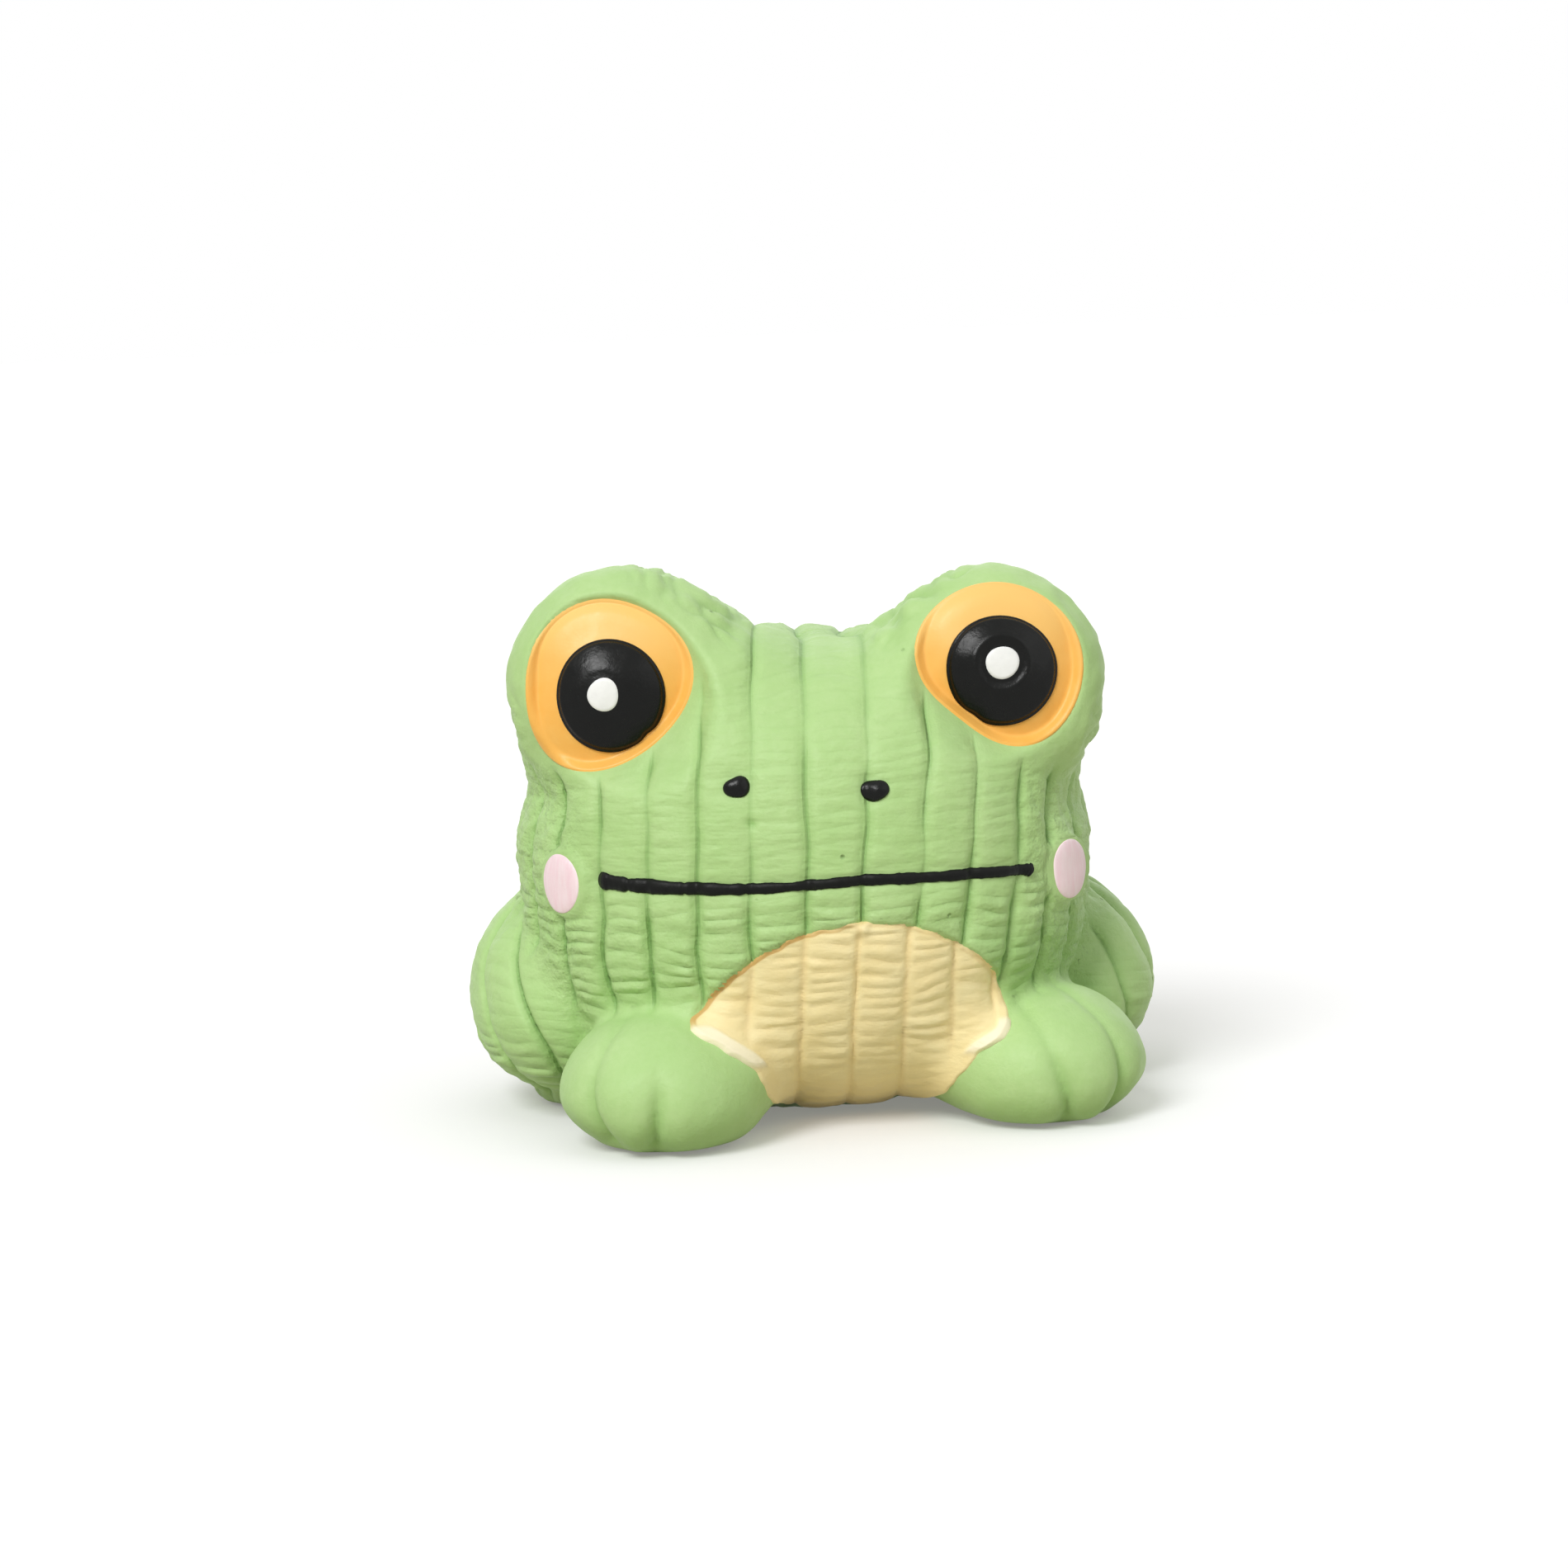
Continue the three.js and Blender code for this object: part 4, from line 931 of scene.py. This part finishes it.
def latex():
    f = Finish("green_latex", specular=0.3)
    tone = f.mix(f.vary(9.0, detail=4.0), LATEX["deep"], LATEX["pale"])
    tone = f.mix(f.range(f.noise(0.9, 2.0), 0.35, 0.75, 0.0, 0.35), tone, LATEX["speck"])
    # Painted shade: darker green in grooves, creases and hollows, towards the ground on the feet and over the
    # lower right of the body
    tone = f.mix(f.range(f.mark("depth"), 0.05, 1.0, 0.0, 0.6), tone, LATEX["groove"])
    # Painted shade along the rib grooves, in the rung creases and in the pits
    off = f.math("ABSOLUTE", f.mark("rib"))
    rib_groove_and_shade = f.times(f.range(off, 0.0, 0.36, 1.0, 0.0), f.mark("rib_mask"))
    puff, crease_shade = f.rungs()
    pits_and_shade = f.spots(2.1, 0.03, 0.16)
    for marks, strength, name in ((rib_groove_and_shade, 0.7, "line"), (crease_shade, 0.3, "crease"), (pits_and_shade, 0.7, "pit")):
        tone = f.mix(f.times(marks, strength), tone, LATEX[name])
    f.colour(tone)
    f.rough(f.vary(2.2, 0.46, 0.6))
    f.bump(f.noise(0.45, 4.0), 0.05)
    f.bump(f.noise(1.6), 0.08)
    level = f.range(f.noise(1.5, 2.0, (0.3, 0.3, 1.0)), 0.35, 0.65, 0.0, 1.0)
    f.bump(f.times(level, f.mark("grain")), 0.09)
    f.bump(f.times(f.noise(1.3, roughness=0.6), f.mark("crumple")), 0.55)
    f.bump(puff, 0.2)
    f.bump(f.less(rib_groove_and_shade), 0.3)
    f.bump(f.less(pits_and_shade), 0.25)
    return f.material


def paint(name, tone, other, roughness, brush_mm, wave, specular=0.5, brush=(1.0, 1.0, 1.0), pale=None):
    f = Finish(name, specular)
    colour = f.mix(f.vary(brush_mm, stretch=brush), tone, other)
    f.colour(f.mix(f.mark("pale"), colour, pale) if pale else colour)
    f.rough(f.vary(1.4, roughness - 0.06, roughness + 0.08))
    f.bump(f.noise(brush_mm, stretch=brush), wave)
    f.bump(f.noise(0.35), 0.02)
    return f.material


def sand_paint():
    f = Finish("sand_paint", specular=0.3)
    tone = f.mix(f.vary(4.0, detail=4.0), SANDY["deep"], SANDY["pale"])
    # Painted shade in the grooves and creases
    tone = f.mix(f.range(f.mark("depth"), 0.1, 1.0, 0.0, 0.6), tone, SANDY["groove"])
    puff, crease_shade = f.rungs()
    tone = f.mix(f.times(crease_shade, 0.14), tone, SANDY["crease"])
    # Painted light low down, a painted highlight on the lips and painted shadow along the upper edge
    for name in ("low", "lip_highlight", "wall"):
        tone = f.mix(f.mark(name), tone, SANDY[name])
    f.colour(tone)
    f.rough(f.vary(1.8, 0.4, 0.54))
    f.bump(puff, 0.08)
    f.bump(f.noise(1.1, stretch=(1.0, 1.0, 2.4)), 0.08)
    f.bump(f.noise(0.4), 0.03)
    return f.material


def plain(name, tone, other, roughness, grain_mm, wave):
    f = Finish(name)
    f.colour(f.mix(f.vary(4.0), tone, other))
    f.rough(f.vary(2.0, roughness - 0.05, roughness + 0.07))
    f.bump(f.noise(grain_mm, 4.0), wave)
    return f.material


GREEN = latex()
# The amber turns pale towards the top of each iris: a painted highlight where light falls from above
AMBER = paint("amber_paint", (249, 184, 86), (251, 192, 98), 0.38, 2.6, 0.04, 0.3, pale=(253, 203, 118))
BLACK = paint("black_paint", (6, 7, 5), (10, 11, 9), 0.24, 1.6, 0.06, 0.19)
INK = paint("mouth_ink", (9, 10, 8), (16, 17, 14), 0.45, 0.9, 0.05, 0.15)
WHITE = paint("white_paint", (238, 239, 237), (244, 245, 243), 0.4, 1.0, 0.03)
PINK = paint("pink_paint", (248, 217, 226), (252, 231, 237), 0.42, 1.2, 0.03, brush=(2.2, 2.2, 0.35))
SAND = sand_paint()
PLASTIC = plain("white_plastic", (236, 234, 226), (243, 242, 236), 0.38, 0.8, 0.02)
FILM = plain("reed_film", (216, 207, 174), (224, 216, 188), 0.3, 0.5, 0.01)
FIBRE = plain("white_fibre", (240, 238, 231), (248, 247, 243), 0.9, 0.4, 0.4)

# Skin
SKIN_STEP = 0.47
SKIN_LOW, SKIN_HIGH = np.array([-48.0, -43.0, -2.5]), np.array([48.0, 38.0, 73.0])
skin_verts, skin_faces = surface_net(skin_field, SKIN_LOW, SKIN_HIGH, SKIN_STEP)
skin_verts = settle(skin_verts, skin_faces)
relief = skin_relief(skin_verts)
skin_verts = skin_verts + unit(gradient(skin_verts)) * relief.height[:, None]
skin_verts[:, 2] = np.maximum(skin_verts[:, 2], 0.0)
add_piece("moulded_skin", skin_verts, skin_faces, GREEN, "latex_skin", relief.marks())

# Eyes
IRIS_SHARES = [*np.linspace(0.1, 0.8, 8), *np.linspace(0.83, 0.98, 12), 0.99, 1.0, 1.01]
PUPIL_SHARES = [*np.linspace(0.08, 0.8, 14), *np.linspace(0.83, 0.97, 9), 0.985, 1.0]
DOT_SHARES = [0.3, 0.6, 0.8, 0.9, 0.96, 1.0]


def iris_coat(share, u, v, moulded):
    """An even coat with a sharp edge, painted lighter upwards as a highlight where light falls from above."""
    return 0.22 * ramp(share, 1.0, 0.98) - 0.15 * ramp(share, 0.99, 1.01), {"pale": ramp(v, -1.0, 9.0)}


def pupil_height(eye, crater, share, u, v):
    """A stepped edge and a low crown, with a dish round the highlight."""
    off, *_ = eye.highlight.polar(u, v)
    ledge = 0.5 * ramp(share, 1.005, 0.96) - 0.1 * ramp(share, 0.99, 1.0)
    crown = 0.35 * ramp(share, 0.94, 0.86) + 0.5 * (1.0 - np.minimum(share / 0.86, 1.0) ** 2)
    dish = 0.25 * bell(off - 3.1, 0.5) - 0.4 * ramp(off, 3.1, 2.2)
    return ledge + crown + crater * dish


def dot_coat(eye, crater):
    """A thin dot on top of the pupil's paint."""
    def coat(share, u, v, moulded):
        off, radius, _ = eye.pupil.polar(u, v)
        return pupil_height(eye, crater, off / radius, u, v) + 0.16 * ramp(share, 1.0, 0.88) - 0.03, {}
    return coat


def pupil_coat(eye, crater):
    return lambda share, u, v, moulded: (pupil_height(eye, crater, share, u, v), {})


for side, sign in SIDES.items():
    eye = eyes[sign]
    plane = (eye.origin, eye.normal, eye.level, eye.upward)
    crater = 0.8 if sign > 0 else 0.15
    for word, *layer in (("iris", eye.iris, IRIS_SHARES, iris_coat, 0.5, AMBER, 160),
                         ("pupil", eye.pupil, PUPIL_SHARES, pupil_coat(eye, crater), 0.2, BLACK, 140),
                         ("highlight", eye.highlight, DOT_SHARES, dot_coat(eye, crater), -0.2, WHITE, 64)):
        paint_cap(f"{side}_{word}", f"{side}_{word}_paint", plane, *layer)

# Nostrils and cheeks
NOSTRIL_OUTLINES = {
    1: Outline((0.0, 0.0), 1.55, (2, 0.22, 5), (3, 0.08, 60)),
    -1: Outline((0.0, 0.0), 1.5, (2, 0.18, 30), (3, 0.09, 200)),
}
NOSTRIL_SHARES = [0.2, 0.4, 0.6, 0.75, 0.87, 0.95, 1.0]
CHEEK_OUTLINES = {
    1: Outline((0.0, 0.0), 3.25, (2, 0.4, 180), (3, 0.05, 40)),
    -1: Outline((0.0, 0.0), 3.52, (2, 0.12, 180), (3, 0.05, 40)),
}
CHEEK_SHARES = [0.25, 0.5, 0.7, 0.85, 0.92, 0.97, 1.0]


def bead_coat(share, u, v, moulded):
    """A round bead."""
    return 0.95 * np.sqrt(np.maximum(1.0 - share ** 2, 0.0)) - 0.08, {}


def cheek_coat(share, u, v, moulded):
    """A flat dab with a rounded edge."""
    return 0.45 * np.sqrt(np.maximum(1.0 - (0.98 * share) ** 4, 0.0)) - 0.1, {}


for side, sign in SIDES.items():
    paint_cap(f"{side}_nostril", f"{side}_nostril_paint", face_frame(*NOSTRILS[sign]), NOSTRIL_OUTLINES[sign],
              NOSTRIL_SHARES, bead_coat, 0.5, BLACK, 48)
    paint_cap(f"{side}_cheek", f"{side}_cheek_paint", cheek_frames[sign], CHEEK_OUTLINES[sign],
              CHEEK_SHARES, cheek_coat, 0.5, PINK, 72)

# Mouth: a wavering stroke of thick paint, blotted at its ends and nicked where it crosses some ribs
MOUTH_STEPS, MOUTH_ROUND, MOUTH_FINE = 300, 16, 1200


def mouth_stroke():
    """A round-backed stroke along the mouth's line, closed to a point at both ends."""
    fine = spline(MOUTH_POINTS, MOUTH_FINE)
    share = 0.5 - 0.5 * np.cos(np.linspace(0.0, math.pi, MOUTH_STEPS))
    even = np.linspace(0.0, 1.0, MOUTH_FINE)
    line = np.stack([np.interp(share, even, column) for column in fine.T], axis=1)
    starts = np.stack([line[:, 0], np.full(MOUTH_STEPS, -START_AHEAD), line[:, 1]], axis=1)
    base = drape(starts, INWARD, RAY_LENGTH)
    out = unit(gradient(base))
    base = base + out * skin_relief(base).height[:, None]
    run = np.gradient(line, axis=0)
    ahead = np.stack([run[:, 0], 0.0 * share, run[:, 1]], axis=1)
    sideways = unit(np.cross(unit(ahead), out))
    place = body.turn(base)[0] * RIB_COUNT
    nick = bell(place - np.round(place), 0.03) * ramp(share, 0.42, 0.3)
    wide = 0.68 + 0.12 * noise(share * 30.0, 0.5, 0.0) + 0.07 * noise(share * 110.0, 5.5, 0.0)
    wide = wide + 0.2 * ramp(share, 0.3, 0.1) + 0.24 * bell(share - 0.024, 0.03)
    wide = wide + 0.14 * bell(share - 0.955, 0.015) - 0.25 * ramp(share, 0.962, 0.98)
    ends = np.clip(np.minimum(share / 0.024, (1.0 - share) / 0.012), 0.0, 1.0)
    wide = wide * (1.0 - 0.22 * nick) * np.sqrt(1.0 - (1.0 - ends) ** 2)
    rings = []
    for angle in np.linspace(0.0, 2.0 * math.pi, MOUTH_ROUND, endpoint=False):
        rise = 0.6 * math.sin(angle) if angle < math.pi else 0.8 * math.sin(angle)
        rings.append(base + sideways * (wide * math.cos(angle))[:, None] + out * (wide * rise + 0.1)[:, None])
    rings = np.stack(rings, axis=1)
    verts = np.concatenate([rings[1:-1].reshape(-1, 3), rings[0, :1], rings[-1, :1]])
    faces = []
    last = (MOUTH_STEPS - 3) * MOUTH_ROUND
    for j in range(MOUTH_ROUND):
        n = (j + 1) % MOUTH_ROUND
        faces.append((len(verts) - 2, j, n))
        faces.append((len(verts) - 1, last + n, last + j))
        for a in range(0, last, MOUTH_ROUND):
            b = a + MOUTH_ROUND
            faces.append((a + j, b + j, b + n, a + n))
    return verts, faces


add_piece("mouth_line", *mouth_stroke(), INK, "mouth_paint")

# Belly: a coat over the recess and its ribs, lapping onto the feet
BELLY_CENTRE = np.array([5.0, 13.5])
BELLY_PLANE = (np.zeros(3), -INWARD, np.array([1.0, 0.0, 0.0]), np.array([0.0, 0.0, 1.0]))
BELLY_BUBBLE = (6.5, 26.4)
BELLY_SHARES = [*np.linspace(0.03, 0.9, 46), *np.linspace(0.915, 0.985, 8), 0.993, 1.0, 1.012]


class TracedOutline:
    """The belly's outline as a radius about its centre, with a brushed, uneven edge."""

    centre = BELLY_CENTRE

    def radius(self, angle):
        arm = belly_line - BELLY_CENTRE
        bearing = np.arctan2(arm[:, 1], arm[:, 0])
        order = np.argsort(bearing)
        smooth = np.interp(angle, bearing[order], np.hypot(*arm.T)[order], period=2.0 * math.pi)
        east, north = smooth * np.cos(angle), smooth * np.sin(angle)
        return smooth + 0.2 * noise(east / 1.6, north / 1.6, 0.5)


def belly_coat(share, u, v, moulded):
    """A thin coat with a thick lip, painted pale as a highlight, where it ends on each foot, a painted shadow
    along its upper edge, and one bubble.
    """
    lift = 0.26 * ramp(share, 1.0, 0.98) - 0.3 * ramp(share, 0.995, 1.012)
    # The lip is raised, and painted pale as a highlight
    lip_top = np.where(u < 5.0, 15.6, 14.2)
    lip = ramp(off_belly(u, v), -1.7, -1.2) * ramp(v, 9.4, 10.6) * ramp(v, lip_top, lip_top - 0.8)
    bubble = bell(np.hypot(u - BELLY_BUBBLE[0], v - BELLY_BUBBLE[1]), 0.95)
    # Painted shadow along the upper edge, fading towards +X and broken by the bubble
    wall = ramp(share, 0.952, 0.964) * ramp(v, 14.8, 16.0) * (1.0 - 0.75 * ramp(u, -2.0, 9.0))
    wall = wall * (1.0 - bubble)
    # Marks: painted shade in grooves and creases, a painted highlight on the lip, painted shadow along the
    # upper edge and painted light low down
    marks = {"depth": moulded.depth, "rungs": moulded.rungs * (1.0 - lip) * ramp(share, 0.98, 0.95),
             "rung_count": moulded.rung_count, "lip_highlight": lip, "wall": wall, "low": 0.85 * ramp(v, 12.0, 2.0)}
    return lift + 0.35 * lip + 0.8 * bubble, marks


paint_cap("belly_coat", "belly_paint", BELLY_PLANE, TracedOutline(), BELLY_SHARES, belly_coat, 0.7, SAND, 420,
          ahead=START_AHEAD, reach=RAY_LENGTH)

# Filling: a loose wad in the shape of the skin, smaller about a middle point, that keeps clear of the skin
# and leaves room for the squeaker
FILLING_MIDDLE, FILLING_SHRINK, FILLING_GAP = np.array([0.0, 0.0, 29.0]), 0.83, 4.5
FILLING_FLOOR, FILLING_STEP, CUP_ROOM = 6.0, 1.5, 1.2


def filling_field(p):
    x, y, z = p.T
    shrunk = skin_field(FILLING_MIDDLE + (p - FILLING_MIDDLE) / FILLING_SHRINK)
    wad = soft_max(shrunk, skin_field(p) + FILLING_GAP, 1.0)
    wad = wad + 0.9 * lumps(p, 6.0) + 0.4 * lumps(p, 2.5)
    cup_radius, cup_top = (cup_high[0] - cup_low[0]) / 2 / MM, cup_high[2] / MM
    cup = soft_max(np.hypot(x, y) - cup_radius - CUP_ROOM, z - cup_top - CUP_ROOM, 1.0)
    return soft_max(soft_max(wad, FILLING_FLOOR - z, 1.0), -cup, 1.0)


filling_net = surface_net(filling_field, SKIN_LOW, SKIN_HIGH, FILLING_STEP)
filling = add_piece("loose_filling", *filling_net, FIBRE, "fibre_filling")

# The squeaker's parts keep their shapes and get their finishes
for node, material in (("squeaker_cup", PLASTIC), ("reed_block", PLASTIC), ("reed_wedge", PLASTIC),
                       ("reed_tongue", FILM)):
    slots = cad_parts[node].data.materials
    slots.clear()
    slots.append(material)

# Floor, light and camera: the floor is seen white, with a painted contact shadow where its glow is dimmed
# close to the toy, and throws back a warmer light
FLOOR_HALF, FLOOR_SINK, FLOOR_DULL, FLOOR_BOUNCE = 3.0, 0.00005, (0.64, 0.642, 0.67), (0.58, 0.55, 0.42)
FLOOR_GLOW, CONTACT_REACH, GLOW_CLOSE, GLOW_OPEN = (1.0, 0.99, 0.92), 0.03, 0.22, 0.46


def shader(tree, kind, colour):
    node = tree.nodes.new(kind)
    node.inputs["Color"].default_value = (*colour, 1.0)
    return node


def by_sight(tree, unseen, seen, output):
    """Lights the scene with one shader, and shows the other to the eye, in reflections and through glass."""
    path = tree.nodes.new("ShaderNodeLightPath")
    sight = path.outputs["Is Camera Ray"]
    for name in ("Is Glossy Ray", "Is Transmission Ray"):
        either = tree.nodes.new("ShaderNodeMath")
        either.operation = "MAXIMUM"
        tree.links.new(sight, either.inputs[0])
        tree.links.new(path.outputs[name], either.inputs[1])
        sight = either.outputs[0]
    pick = tree.nodes.new("ShaderNodeMixShader")
    for index, value in enumerate((sight, unseen.outputs[0], seen.outputs[0])):
        tree.links.new(value, pick.inputs[index])
    tree.links.new(pick.outputs[0], tree.nodes.new(output).inputs["Surface"])


def stage_floor():
    mesh = bpy.data.meshes.new("floor")
    corners = ((-1, -1), (1, -1), (1, 1), (-1, 1))
    mesh.from_pydata([(FLOOR_HALF * x, FLOOR_HALF * y, 0.0) for x, y in corners], [], [(0, 1, 2, 3)])
    floor = bpy.data.objects.new("floor", mesh)
    floor.location.z = -FLOOR_SINK
    bpy.context.scene.collection.objects.link(floor)
    material = bpy.data.materials.new("white_floor")
    material.use_nodes = True
    tree = material.node_tree
    tree.nodes.clear()
    glow = shader(tree, "ShaderNodeEmission", FLOOR_GLOW)
    # Painted contact shadow: ambient occlusion dims the floor's glow near the toy
    painted_shadow_ao = tree.nodes.new("ShaderNodeAmbientOcclusion")
    painted_shadow_ao.inputs["Distance"].default_value = CONTACT_REACH
    dimmed = tree.nodes.new("ShaderNodeMapRange")
    dimmed.inputs["To Min"].default_value = GLOW_CLOSE
    dimmed.inputs["To Max"].default_value = GLOW_OPEN
    tree.links.new(painted_shadow_ao.outputs["AO"], dimmed.inputs["Value"])
    tree.links.new(dimmed.outputs["Result"], glow.inputs["Strength"])
    both = tree.nodes.new("ShaderNodeAddShader")
    tree.links.new(shader(tree, "ShaderNodeBsdfDiffuse", FLOOR_DULL).outputs[0], both.inputs[0])
    tree.links.new(glow.outputs[0], both.inputs[1])
    by_sight(tree, shader(tree, "ShaderNodeBsdfDiffuse", FLOOR_BOUNCE), both, "ShaderNodeOutputMaterial")
    mesh.materials.append(material)


def light_world(strength):
    world = bpy.data.worlds.new("studio")
    bpy.context.scene.world = world
    world.use_nodes = True
    tree = world.node_tree
    tree.nodes.clear()
    soft, white = (shader(tree, "ShaderNodeBackground", (1.0, 1.0, 1.0)) for _ in range(2))
    soft.inputs["Strength"].default_value = strength
    by_sight(tree, soft, white, "ShaderNodeOutputWorld")


def add_sun(name, toward, spread, strength):
    """A broad, even light that shines from a direction, with soft shadows."""
    data = bpy.data.lights.new(name, "SUN")
    data.angle = math.radians(spread)
    data.energy = strength
    lamp = bpy.data.objects.new(name, data)
    lamp.rotation_euler = (-Vector(toward)).to_track_quat("-Z", "Y").to_euler()
    bpy.context.scene.collection.objects.link(lamp)


stage_floor()
light_world(0.22)
add_sun("key", (-0.36, -0.66, 0.66), 26.0, 2.25)
add_sun("sky", (0.0, -0.1, 1.0), 110.0, 0.44)
add_sun("fill", (0.75, -0.5, 0.45), 50.0, 0.3)
add_sun("back", (0.2, 0.95, 0.3), 80.0, 0.7)

IMAGE_SIZE, SENSOR = 1900, 36.0
FOCAL_PIXELS, DISTANCE = 5342.0, 560.0
ELEVATION, AZIMUTH, ROLL = 8.6, -0.3, 2.15
AIM, AIM_PIXEL = np.array([0.0, -2.0, 31.2]), (974.0, 1036.0)


def set_camera():
    el, az, roll = (math.radians(v) for v in (ELEVATION, AZIMUTH, ROLL))
    back = np.array([math.sin(az) * math.cos(el), -math.cos(az) * math.cos(el), math.sin(el)])
    level = np.cross(-back, [0.0, 0.0, 1.0])
    level /= np.linalg.norm(level)
    upward = np.cross(level, -back)
    right = math.cos(roll) * level - math.sin(roll) * upward
    up = math.sin(roll) * level + math.cos(roll) * upward
    place = to_scene(AIM + back * DISTANCE)

    # The aim point lies off the middle of the picture, so the camera looks a little past it
    off_x, off_y = AIM_PIXEL[0] - IMAGE_SIZE / 2, AIM_PIXEL[1] - IMAGE_SIZE / 2
    ahead = -back * FOCAL_PIXELS - right * off_x + up * off_y
    ahead /= np.linalg.norm(ahead)
    right = right - ahead * (right @ ahead)
    right /= np.linalg.norm(right)
    up = np.cross(right, ahead)
    data = bpy.data.cameras.new("camera")
    data.sensor_width = SENSOR
    data.lens = SENSOR * FOCAL_PIXELS / IMAGE_SIZE
    data.clip_start = 0.01
    camera = bpy.data.objects.new("camera", data)
    axes = Matrix((right, up, -ahead)).transposed().to_4x4()
    axes.translation = Vector(place)
    camera.matrix_world = axes
    bpy.context.scene.collection.objects.link(camera)
    bpy.context.scene.camera = camera


set_camera()
bpy.context.scene.view_settings.view_transform = "Standard"
